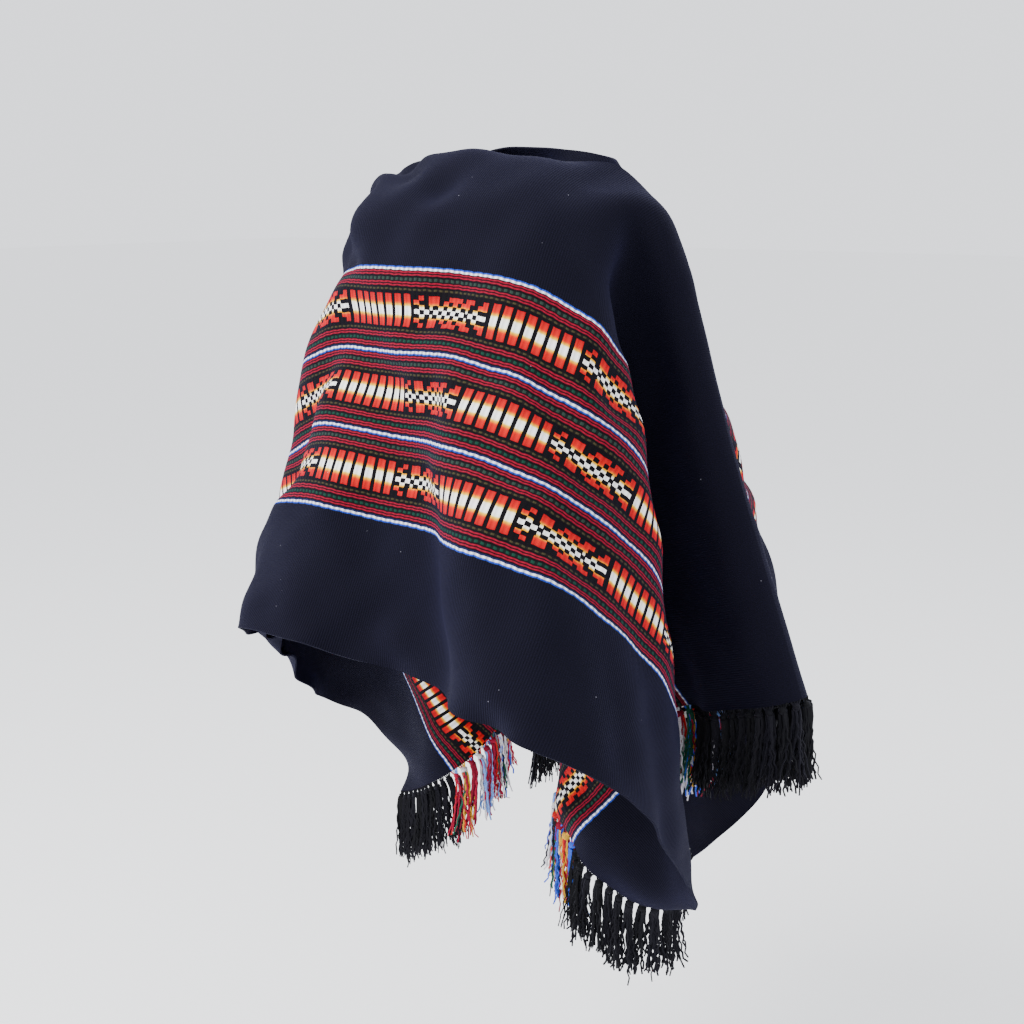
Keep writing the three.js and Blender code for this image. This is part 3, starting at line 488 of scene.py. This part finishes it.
WAVES, WAVES_MORE = 4.0, 2.5               # waves in a yarn, at least and how many more
FULL_TURN = 6.3                # about a whole turn, in radians


def tubes(lines, radii, sides, across):
    """Tubes round many lines at once: rings square to the line in a frame built from the
    across direction, and one quad between each two neighbours; the thin ends stay open."""
    way = unit(np.gradient(lines, axis=1))
    first = unit(across[:, None] - way * (way * across[:, None]).sum(-1, keepdims=True))
    second = np.cross(way, first)
    angle = np.linspace(0, 2 * math.pi, sides, endpoint=False)
    ring = (first[:, :, None] * np.cos(angle)[:, None] + second[:, :, None]
            * np.sin(angle)[:, None])
    points = lines[:, :, None] + ring * radii[:, :, None, None]
    number = np.arange(points[..., 0].size).reshape(points.shape[:3])
    turned = np.roll(number, -1, axis=2)
    faces = np.stack([number[:, :-1], turned[:, :-1], turned[:, 1:], number[:, 1:]],
                     -1).reshape(-1, 4)
    return points, faces


def edge_frames(half, side, surface, normals):
    """At every knot: place on the cloth's end, normal, way along the end and way off it."""
    # the cloth's last drawn column and the one four steps inside it
    edge, inside = (-1, -5) if side > 0 else (0, 4)
    rows = surface.shape[1] - 1
    at = (np.arange(KNOTS_PER_EDGE) + FIRST_KNOT) / KNOTS_PER_EDGE * rows
    low = at.astype(int)
    share = (at - low)[:, None]
    place = surface[edge, low] * (1 - share) + surface[edge, low + 1] * share
    normal = unit(normals[edge, low] * (1 - share) + normals[edge, low + 1] * share)
    back = surface[inside, low] * (1 - share) + surface[inside, low + 1] * share
    along = unit(surface[edge, low + 1] - surface[edge, low])
    off = place - back
    off -= along * (off * along).sum(-1, keepdims=True)
    return place, normal, along, unit(off), at / rows * HALF_LENGTH


# Yarn colours on the plain cloth and at the ends of the patterned bands.
YARN_GROUND = ["#0a0911", "#0d0c15", "#07070c"]
YARN_BAND = ["#b5163c", "#d9251f", "#eceaf0", "#3a62e0", "#1c5c46", "#e9b23a", "#8f1230",
             "#1b1924", "#7fa8ee"]
OWN_COLOUR = .55               # past this share of the draws a band's yarn differs from its knot
DYE_UNEVEN = .08
# The patterned bands by distance down the cloth (mm), and how far coloured knots reach past.
BAND_START, BAND_PITCH, BANDS, BAND_PAST = 187.0, 88.0, 3, 4


def fringe(half, side, surface, normals, seed):
    """Knotted fringe of one warp end: legs of yarn from the cloth run into a knot, and the
    knot's yarns fall from it, spreading, waving and ending unevenly."""
    rng = np.random.default_rng(seed)
    place, normal, along, off, v = edge_frames(half, side, surface, normals)
    count = len(place)
    down = np.array([0, 0, -1.0])
    knot_way = unit(off * KNOT_OFF + down * KNOT_DOWN)
    knot = place + knot_way * (KNOT_DROP + rng.normal(0, KNOT_DROP_UNEVEN, (count, 1)))
    parts = []
    # legs of yarn from the cloth's end to the knot
    t = np.linspace(0, 1, LEG_POINTS)[None, None, :, None]
    spread = np.linspace(-LEG_SPREAD, LEG_SPREAD, LEGS)[None, :, None, None]
    spread = spread * (HALF_LENGTH / KNOTS_PER_EDGE)
    root = place[:, None, None] + along[:, None, None] * spread - off[:, None, None] * LEG_INSIDE
    gathered = knot[:, None, None] + along[:, None, None] * spread * LEG_GATHER
    legs = root * (1 - t) + gathered * t
    parts.append((legs.reshape(-1, LEG_POINTS, 3), np.full((count * LEGS, LEG_POINTS), LEG_RADIUS),
                  np.repeat(along, LEGS, 0), np.repeat(np.arange(count), LEGS)))
    # knots: short fat barrels that swell in the middle, turned a little each
    t = np.linspace(-1, 1, KNOT_POINTS)
    tilt = unit(knot_way + along * rng.normal(0, KNOT_TILT, (count, 1)))
    size = KNOT_RADIUS * (1 + rng.normal(0, KNOT_RADIUS_UNEVEN, (count, 1)))
    barrel = knot[:, None] + tilt[:, None] * (t * KNOT_HALF)[None, :, None]
    swell = size * np.sqrt(np.clip(1.02 - t ** 2, .04, 1)) * (1 - KNOT_RIPPLE * np.cos(7 * t))
    parts.append((barrel, swell, along, np.arange(count)))
    # hanging yarns
    n = count * STRANDS
    owner = np.repeat(np.arange(count), STRANDS)
    t = np.linspace(0, 1, STRAND_POINTS)[None, :, None]
    length = STRAND_LENGTH * (1 + rng.normal(0, STRAND_UNEVEN, (n, 1, 1))
                              - SHORT_BY * (rng.random((n, 1, 1)) > SHORT_STRANDS))
    sheaf = rng.normal(0, SHEAF_LEAN, (count, 1, 2))[owner]
    lean_a = (rng.normal(0, LEAN_ALONG, (n, 1, 1)) + sheaf[..., :1]) * (LEAN_START + t)
    lean_n = (rng.normal(0, LEAN_OUT, (n, 1, 1)) + sheaf[..., 1:] * SHEAF_OUT) * (LEAN_START + t)
    turned = np.clip(TURN_START + TURN_RATE * t, 0, 1)
    a, m, o = along[owner][:, None], normal[owner][:, None], off[owner][:, None]
    way = unit(o * (1 - turned) + down * turned + a * lean_a + m * lean_n)
    path = np.cumsum(way * length / (STRAND_POINTS - 1), axis=1)
    path -= path[:, :1]
    phase = rng.random((n, 1, 1)) * FULL_TURN
    pace = WAVES + rng.random((n, 1, 1)) * WAVES_MORE
    growing = np.clip(t * WAVE_GROWTH, 0, 1)
    wave = WAVE_ALONG * growing * np.sin(phase + pace * t * FULL_TURN)
    other = WAVE_OUT * growing * np.cos(phase + pace * t * FULL_TURN)
    around = rng.random((n, 1, 1)) * FULL_TURN
    ring = STRAND_RING * (a * np.cos(around) + m * np.sin(around))
    start = knot[owner][:, None] + ring + tilt[owner][:, None] * STRAND_START
    lines = start + path + a * wave + m * other
    taper = (1.05 - STRAND_TAPER * np.linspace(0, 1, STRAND_POINTS))[None]
    thick = STRAND_RADIUS * taper * (1 + rng.normal(0, STRAND_RADIUS_UNEVEN, (n, 1)))
    parts.append((lines, thick, along[owner], owner))
    # colours by yarn
    ground = np.array([linear(c) for c in YARN_GROUND])
    band = np.array([linear(c) for c in YARN_BAND])
    in_band = (v > BAND_START - BAND_PAST) & (v < BAND_START + BANDS * BAND_PITCH + BAND_PAST)
    base = ground[rng.integers(0, len(ground), count)]
    base[in_band] = band[rng.integers(0, len(band), in_band.sum())]
    points, faces, colours, total = [], [], [], 0
    for lines, radii, across, owner in parts:
        body, quads = tubes(lines, radii, STRAND_SIDES if len(lines) > count else KNOT_SIDES,
                            across)
        tint = base[owner]
        mixed = in_band[owner] & (rng.random(len(owner)) > OWN_COLOUR)
        tint[mixed] = band[rng.integers(0, len(band), mixed.sum())]
        tint = tint * (1 + rng.normal(0, DYE_UNEVEN, (len(tint), 1)))
        points.append(body.reshape(-1, 3))
        faces.append(quads + total)
        colours.append(np.repeat(tint, body.shape[1] * body.shape[2], 0))
        total += body[..., 0].size
    name = f"fringe_{'front' if half == FRONT else 'back'}_{'left' if side > 0 else 'right'}_yarn"
    piece = new_mesh(name, np.concatenate(points), np.concatenate(faces))
    tint = np.clip(np.concatenate(colours), 0, 1)
    store = piece.data.attributes.new("yarn_colour", "FLOAT_COLOR", "POINT")
    store.data.foreach_set("color", np.c_[tint, np.ones(len(tint))].astype(np.float32).ravel())
    return piece


def linear(code):
    """Linear colour of an sRGB hex value."""
    value = np.array([int(code[k:k + 2], 16) for k in (1, 3, 5)]) / 255
    return np.where(value <= .04045, value / 12.92, ((value + .055) / 1.055) ** 2.4)


def add(tree, kind, *values, inputs=None, **settings):
    """Adds one node: values go to its inputs in order, inputs by name, each a number, a
    colour or another node's output; gives back its first output, if it has one."""
    node = tree.nodes.new(kind)
    for name, value in settings.items():
        setattr(node, name, value)
    for key, value in [*enumerate(values), *(inputs or {}).items()]:
        if isinstance(value, bpy.types.NodeSocket):
            tree.links.new(value, node.inputs[key])
        elif value is not None:
            node.inputs[key].default_value = value
    return node.outputs[0] if node.outputs else None


def fill_ramp(socket, stops, interpolation="LINEAR"):
    """Sets a colour ramp's stops: (position, hex or grey, alpha)."""
    ramp = socket.node.color_ramp
    ramp.interpolation = interpolation
    while len(ramp.elements) > 1:
        ramp.elements.remove(ramp.elements[-1])
    for k, (at, colour, *alpha) in enumerate(stops):
        element = ramp.elements[0] if k == 0 else ramp.elements.new(at)
        element.position = at
        shade = linear(colour) if isinstance(colour, str) else (colour,) * 3
        element.color = (*shade, alpha[0] if alpha else 1.0)
    return socket


# The band's stripes as shares of its pitch from its upper line: start, end, colour.
GROUND, BAND_DARK, RED, OLIVE = "#080713", "#090608", "#880c26", "#3a3520"
STRIPES = [
    (.036, .052, RED), (.067, .083, RED), (.108, .142, "#27382f"), (.157, .173, RED),
    (.188, .204, RED), (.23, .252, OLIVE), (.722, .744, OLIVE), (.77, .786, RED),
    (.801, .817, RED), (.843, .875, "#12392b"), (.892, .908, RED), (.923, .939, RED),
    (.958, .982, "#141a42")]
UPPER_STRIPES, DASHED_STRIPES = 6, (2, 5, 6, 9)    # how many lie over the motif; the dashed
STRIPE_SOFT = .003             # half width of a stripe's blurred side
DASH_REACH = .004              # dashes reach this far past their stripe
DASH_LENGTH, DASH_DEPTH = .9, .8           # a dark dash's length in half beads, and its depth
PICK = .0031                   # half of a bead along u, in metres
GROUND_RIB = .00125            # half of the plain ground's rib along u
WARP_YARN = .0011              # half of a warp yarn across v
LINE_STEP, LINE_WANDER = .0006, .0012      # how far lines move with the picks, and by chance
LINE_RAMP = 8                  # mm across a white and blue line and the dark beside it
REPEAT = .205                  # the motif's repeat along u
MOTIF_AT = .062                # a star's middle
CELLS = 33                     # motif cells in one repeat
STAR_CELLS, STAR_MIDDLE = 17, 7.5
REPEATS_BACK = 8               # repeats from the star at MOTIF_AT to the first one counted
CELL_ROW = .0535               # height of a motif row as a share of the pitch
BAR_ROWS, BAR_CELLS = 3.7, 1.3     # a bar's half height in rows; its width, of each two cells
BAND_MIDDLE = .49
# One star of the pick-up motif, given cell by cell: the middle row first, then the rows
# that lie above and below it alike; # is a whole cell, o half a cell.
STAR = ["#.#.#.#.#.#.#.##.",
        ".#.o.#.#.#.o.#...",
        "#..##.#.#.##..##.",
        ".#.##..###.##..#."]


def woven_cloth():
    """Handwoven warp-faced wool: matte, hairy, ribbed across the warp, with a slight sheen
    where light grazes it; the pattern is woven in, so it shows on both faces and follows
    the flat cloth."""
    material = bpy.data.materials.new("handwoven_wool_with_pickup_bands")
    material.use_nodes = True
    tree = material.node_tree
    tree.nodes.clear()
    place = add(tree, "ShaderNodeUVMap", uv_map="flat_cloth")
    axes = add(tree, "ShaderNodeSeparateXYZ", place).node
    u, v = axes.outputs[0], axes.outputs[1]
    math_node = "ShaderNodeMath"
    # the yarn's wander: lines aren't ruler straight
    wander = add(tree, "ShaderNodeTexNoise", place, inputs={"Scale": 60, "Detail": 2})
    wander = add(tree, math_node, wander, -.5, operation="ADD")
    # a triangle wave along u moves every line up and down a little, and another of half its
    # length gives one bead for each pick
    pick = add(tree, math_node, u, 2 * PICK, operation="PINGPONG")
    pick_wave = add(tree, math_node, pick, 1 / (2 * PICK), operation="MULTIPLY")
    bead = add(tree, math_node, u, PICK, operation="PINGPONG")
    bead = add(tree, math_node, bead, 1 / PICK, operation="MULTIPLY")
    shift = add(tree, math_node, pick_wave, LINE_STEP, operation="MULTIPLY")
    shift = add(tree, math_node, wander, LINE_WANDER, shift, operation="MULTIPLY_ADD")
    down = add(tree, math_node, v, shift, operation="ADD")
    bands = add(tree, math_node, down, -BAND_START / 1000, operation="ADD")
    bands = add(tree, math_node, bands, 1000 / BAND_PITCH, operation="MULTIPLY")
    share = add(tree, math_node, bands, operation="FRACT")
    low = add(tree, math_node, bands, 0, operation="GREATER_THAN")
    high = add(tree, math_node, bands, BANDS, operation="LESS_THAN")
    in_band = add(tree, math_node, low, high, operation="MULTIPLY")
    # stripes above and below the motif
    halves = []
    for first, last in ((0, UPPER_STRIPES), (UPPER_STRIPES, len(STRIPES))):
        ramp = add(tree, "ShaderNodeValToRGB", share)
        stops = [(0, BAND_DARK)]
        for start, end, colour in STRIPES[first:last]:
            stops += [(start - STRIPE_SOFT, BAND_DARK), (start + STRIPE_SOFT, colour),
                      (end - STRIPE_SOFT, colour), (end + STRIPE_SOFT, BAND_DARK)]
        halves.append(fill_ramp(ramp, stops))
    upper = add(tree, math_node, share, BAND_MIDDLE, operation="LESS_THAN")
    striped = add(tree, "ShaderNodeMix", data_type="RGBA", inputs={
        "Factor": upper, 6: halves[1], 7: halves[0]}).node.outputs[2]
    # the green and olive stripes are dashed by dark picks
    dash = add(tree, math_node, u, 2 * PICK, operation="FLOORED_MODULO")
    dash = add(tree, math_node, dash, PICK * DASH_LENGTH, operation="LESS_THAN")
    rows = []
    for start, end, _ in (STRIPES[k] for k in DASHED_STRIPES):
        middle, reach = (start + end) / 2, (end - start) / 2 + DASH_REACH
        rows.append(add(tree, math_node, share, middle, reach, operation="COMPARE"))
    dashed = rows[0]
    for row in rows[1:]:
        dashed = add(tree, math_node, dashed, row, operation="MAXIMUM")
    dashed = add(tree, math_node, dashed, dash, operation="MULTIPLY")
    dashed = add(tree, math_node, dashed, DASH_DEPTH, operation="MULTIPLY")
    striped = add(tree, "ShaderNodeMix", data_type="RGBA", inputs={
        "Factor": dashed, 6: striped, 7: (*linear(BAND_DARK), 1)}).node.outputs[2]
    # the pick-up motif: a star from the chart, then eight bars, counted from a star that
    # starts past the cut's end
    first_cell = MOTIF_AT - STAR_MIDDLE * REPEAT / CELLS - REPEAT * REPEATS_BACK
    cell = add(tree, math_node, u, -first_cell, operation="ADD")
    cell = add(tree, math_node, cell, REPEAT, operation="FLOORED_MODULO")
    cell = add(tree, math_node, cell, CELLS / REPEAT, operation="MULTIPLY")
    row = add(tree, math_node, share, -BAND_MIDDLE, operation="ADD")
    row = add(tree, math_node, row, 1 / CELL_ROW, operation="MULTIPLY")
    row = add(tree, math_node, row, operation="ABSOLUTE")
    star_at = add(tree, math_node, cell, 1 / STAR_CELLS, operation="MULTIPLY")
    motif = None
    for k, line in enumerate(STAR):
        ramp = add(tree, "ShaderNodeValToRGB", star_at)
        stops, last = [], None
        for n, mark in enumerate(line):
            if mark == "o":
                stops += [(n / STAR_CELLS, 0), ((n + .25) / STAR_CELLS, 1),
                          ((n + .75) / STAR_CELLS, 0)]
            elif mark != last:
                stops.append((n / STAR_CELLS, 1 if mark == "#" else 0))
            last = mark
        fill_ramp(ramp, stops, "CONSTANT")
        here = add(tree, math_node, row, k, .5, operation="COMPARE")
        here = add(tree, math_node, here, ramp, operation="MULTIPLY")
        motif = here if motif is None else add(tree, math_node, motif, here, operation="MAXIMUM")
    in_star = add(tree, math_node, cell, STAR_CELLS, operation="LESS_THAN")
    motif = add(tree, math_node, motif, in_star, operation="MULTIPLY")
    bar = add(tree, math_node, cell, -STAR_CELLS, operation="ADD")
    bar = add(tree, math_node, bar, 2, operation="FLOORED_MODULO")
    bar = add(tree, math_node, bar, BAR_CELLS, operation="LESS_THAN")
    bar_row = add(tree, math_node, row, BAR_ROWS, operation="LESS_THAN")
    bar = add(tree, math_node, bar, bar_row, operation="MULTIPLY")
    not_star = add(tree, math_node, 1, in_star, operation="SUBTRACT")
    bar = add(tree, math_node, bar, not_star, operation="MULTIPLY")
    motif = add(tree, math_node, motif, bar, operation="MAXIMUM")
    tone = add(tree, math_node, row, .25, operation="MULTIPLY")
    tone = fill_ramp(add(tree, "ShaderNodeValToRGB", tone), [
        (0, "#fbfaff"), (.22, "#fbf6e0"), (.3, "#eec22a"), (.38, "#e08a10"), (.46, "#d23a0c"),
        (.54, "#c3140c"), (.75, "#b50d10"), (1, "#990a14")])
    banded = add(tree, "ShaderNodeMix", data_type="RGBA", inputs={
        "Factor": motif, 6: striped, 7: tone}).node.outputs[2]
    # ground with the bands on it
    fleck = add(tree, "ShaderNodeTexNoise", place, inputs={"Scale": 900, "Detail": 3})
    ground = fill_ramp(add(tree, "ShaderNodeValToRGB", fleck), [
        (.3, "#05050c"), (.55, GROUND), (.75, "#0e0c1f")])
    colour = add(tree, "ShaderNodeMix", data_type="RGBA", inputs={
        "Factor": in_band, 6: ground, 7: banded}).node.outputs[2]
    # the white and blue lines: distance from the nearest line, a ramp's length being 8 mm,
    # flipped on the first line
    nearest = add(tree, math_node, bands, operation="ROUND")
    nearest = add(tree, math_node, nearest, 0, operation="MAXIMUM")
    nearest = add(tree, math_node, nearest, BANDS, operation="MINIMUM")
    away = add(tree, math_node, bands, nearest, operation="SUBTRACT")
    first = add(tree, math_node, nearest, .5, operation="LESS_THAN")
    sign = add(tree, math_node, first, -2, 1, operation="MULTIPLY_ADD")
    away = add(tree, math_node, away, sign, operation="MULTIPLY")
    away = add(tree, math_node, away, BAND_PITCH / LINE_RAMP, .5, operation="MULTIPLY_ADD")
    line = fill_ramp(add(tree, "ShaderNodeValToRGB", away), [
        (0, "#f1f2fa", 0), (.235, "#f1f2fa", 0), (.27, "#f1f2fa", 1), (.5, "#eef1fb", 1),
        (.55, "#2c4cb8", 1), (.72, "#2542a8", 1), (.77, "#1b2a6a", 0), (1, "#1b2a6a", 0)]).node
    bead_dark = add(tree, math_node, bead, .55, .45, operation="MULTIPLY_ADD")
    strength = add(tree, math_node, line.outputs[1], bead_dark, operation="MULTIPLY")
    colour = add(tree, "ShaderNodeMix", data_type="RGBA", inputs={
        "Factor": strength, 6: colour, 7: line.outputs[0]}).node.outputs[2]
    # every pick's sides are darkened in the colour as painted shade, and lint lies here and there
    painted_pick_shade = add(tree, math_node, bead, .34, .7, operation="MULTIPLY_ADD")
    colour = add(tree, "ShaderNodeMix", data_type="RGBA", blend_type="MULTIPLY", inputs={
        "Factor": in_band, 6: colour, 7: painted_pick_shade}).node.outputs[2]
    lint = add(tree, "ShaderNodeTexVoronoi", place, inputs={"Scale": 120, "Randomness": 1.0}).node
    speck = add(tree, math_node, lint.outputs["Distance"], .07, operation="LESS_THAN")
    chance = add(tree, "ShaderNodeSeparateColor", lint.outputs["Color"])
    chance = add(tree, math_node, chance, .02, operation="LESS_THAN")
    speck = add(tree, math_node, speck, chance, operation="MULTIPLY")
    speck = add(tree, math_node, speck, .3, operation="MULTIPLY")
    colour = add(tree, "ShaderNodeMix", data_type="RGBA", inputs={
        "Factor": speck, 6: colour, 7: (*linear("#b9b7c4"), 1)}).node.outputs[2]
    # height: the picks in the bands, the plain cloth's ribs, the warp's yarns, a fine fuzz
    warp = add(tree, math_node, v, WARP_YARN, operation="PINGPONG")
    warp = add(tree, math_node, warp, 1 / WARP_YARN, operation="MULTIPLY")
    ribs = add(tree, math_node, bead, .7, operation="POWER")
    height = add(tree, math_node, ribs, .6, operation="MULTIPLY")
    plain = add(tree, math_node, u, GROUND_RIB, operation="PINGPONG")
    plain = add(tree, math_node, plain, .9 / GROUND_RIB, operation="MULTIPLY")
    height = add(tree, "ShaderNodeMix", inputs={"Factor": in_band, 2: plain, 3: height})
    height = add(tree, math_node, warp, .25, height, operation="MULTIPLY_ADD")
    height = add(tree, math_node, fleck, .9, height, operation="MULTIPLY_ADD")
    bump = add(tree, "ShaderNodeBump", inputs={
        "Strength": .55, "Distance": .0009, "Height": height})
    shader = add(tree, "ShaderNodeBsdfPrincipled", inputs={
        "Base Color": colour, "Normal": bump, "Roughness": .88, "IOR": 1.45,
        "Specular IOR Level": .1, "Sheen Weight": .045, "Sheen Roughness": .5,
        "Sheen Tint": (.34, .34, 1, 1)})
    add(tree, "ShaderNodeOutputMaterial", shader)
    return material


def fringe_yarn():
    """Plied wool yarn: matte with a hairy sheen, each yarn dyed through, colours by yarn."""
    material = bpy.data.materials.new("plied_wool_yarn")
    material.use_nodes = True
    tree = material.node_tree
    tree.nodes.clear()
    dye = add(tree, "ShaderNodeAttribute", attribute_name="yarn_colour")
    place = add(tree, "ShaderNodeTexCoord").node.outputs["Object"]
    ply = add(tree, "ShaderNodeTexNoise", place, inputs={"Scale": 700, "Detail": 2})
    shade = fill_ramp(add(tree, "ShaderNodeValToRGB", ply), [(.3, .6), (.7, 1.0)])
    colour = add(tree, "ShaderNodeMix", data_type="RGBA", blend_type="MULTIPLY", inputs={
        "Factor": 1.0, 6: dye, 7: shade}).node.outputs[2]
    bump = add(tree, "ShaderNodeBump", inputs={
        "Strength": .5, "Distance": .0006, "Height": ply})
    shader = add(tree, "ShaderNodeBsdfPrincipled", inputs={
        "Base Color": colour, "Normal": bump, "Roughness": .82, "IOR": 1.45,
        "Specular IOR Level": .2, "Sheen Weight": .05, "Sheen Roughness": .45,
        "Sheen Tint": (.6, .6, .9, 1)})
    add(tree, "ShaderNodeOutputMaterial", shader)
    return material


CAMERA_AZIMUTH, CAMERA_PITCH = math.radians(35.4), math.radians(13.7)
CAMERA_AWAY, CAMERA_HEIGHT, CAMERA_SIDE = 1.5, -.046, .013
CAMERA_LENS = 45.88
FLOOR_HEIGHT = -1.42           # well below the hems
PAPER_WHITE, WORLD_STRENGTH = .95, 1.75


def studio():
    """Camera at the photo's angle, a pale floor and soft light."""
    right = np.array([math.cos(CAMERA_AZIMUTH), math.sin(CAMERA_AZIMUTH), 0])
    ahead = np.array([-math.sin(CAMERA_AZIMUTH), math.cos(CAMERA_AZIMUTH), 0])
    up = np.array([0, 0, 1.0])
    look = ahead * math.cos(CAMERA_PITCH) - up * math.sin(CAMERA_PITCH)
    above = up * math.cos(CAMERA_PITCH) + ahead * math.sin(CAMERA_PITCH)
    at = -ahead * CAMERA_AWAY + up * CAMERA_HEIGHT + right * CAMERA_SIDE
    data = bpy.data.cameras.new("camera")
    data.lens, data.sensor_width = CAMERA_LENS, 36
    camera = bpy.data.objects.new("camera", data)
    bpy.context.collection.objects.link(camera)
    camera.matrix_world = Matrix([[right[k], above[k], -look[k], at[k]] for k in range(3)]
                                 + [[0, 0, 0, 1]])
    bpy.context.scene.camera = camera
    bpy.ops.mesh.primitive_plane_add(size=60, location=(0, 0, FLOOR_HEIGHT))
    floor = bpy.context.object
    floor.name = "floor"
    paper = bpy.data.materials.new("pale_backdrop_paper")
    paper.use_nodes = True
    shader = paper.node_tree.nodes["Principled BSDF"]
    shader.inputs["Base Color"].default_value = (PAPER_WHITE,) * 3 + (1,)
    shader.inputs["Roughness"].default_value = .9
    floor.data.materials.append(paper)
    world = bpy.data.worlds.new("soft_room")
    world.use_nodes = True
    world.node_tree.nodes["Background"].inputs[0].default_value = (.93, .95, 1, 1)
    world.node_tree.nodes["Background"].inputs[1].default_value = WORLD_STRENGTH
    bpy.context.scene.world = world
    # key high on the wearer's right front, a weak fill and a rim: place, aim, size, power
    for name, place, aim, size, power in (
            ("key", (-1.3, -2.0, 1.7), (0, -.15, -.25), 1.6, 165),
            ("fill", (2.6, -.6, .6), (.1, 0, -.4), 2.2, 10),
            ("rim", (.6, 2.2, 1.6), (0, 0, -.3), 1.8, 25)):
        light = bpy.data.lights.new(name, "AREA")
        light.shape, light.size, light.energy = "DISK", size, power
        lamp = bpy.data.objects.new(name, light)
        bpy.context.collection.objects.link(lamp)
        away = np.array(place) - np.array(aim)
        back = away / np.linalg.norm(away)
        side = np.cross(up, back)
        side /= np.linalg.norm(side)
        over = np.cross(back, side)
        lamp.matrix_world = Matrix([[side[k], over[k], back[k], place[k]] for k in range(3)]
                                   + [[0, 0, 0, 1]])


def poncho():
    """All pieces and their materials; the model's parts that they take the place of are hidden."""
    u, v, halves, normals = cloth_surfaces()
    cloth, yarn = woven_cloth(), fringe_yarn()
    for half, word in ((FRONT, "front"), (BACK, "back")):
        sheet = cloth_half(half, u, v, halves[half], normals[half])
        sheet.data.materials.append(cloth)
        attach(sheet, "root")
        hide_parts(f"{word}_panel")
        for side, hand in ((1, "left"), (-1, "right")):
            piece = fringe(half, side, halves[half], normals[half], 7 + 2 * half + (side > 0))
            piece.data.materials.append(yarn)
            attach(piece, "root")
            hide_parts(f"fringe_{word}_{hand}")


studio()
poncho()
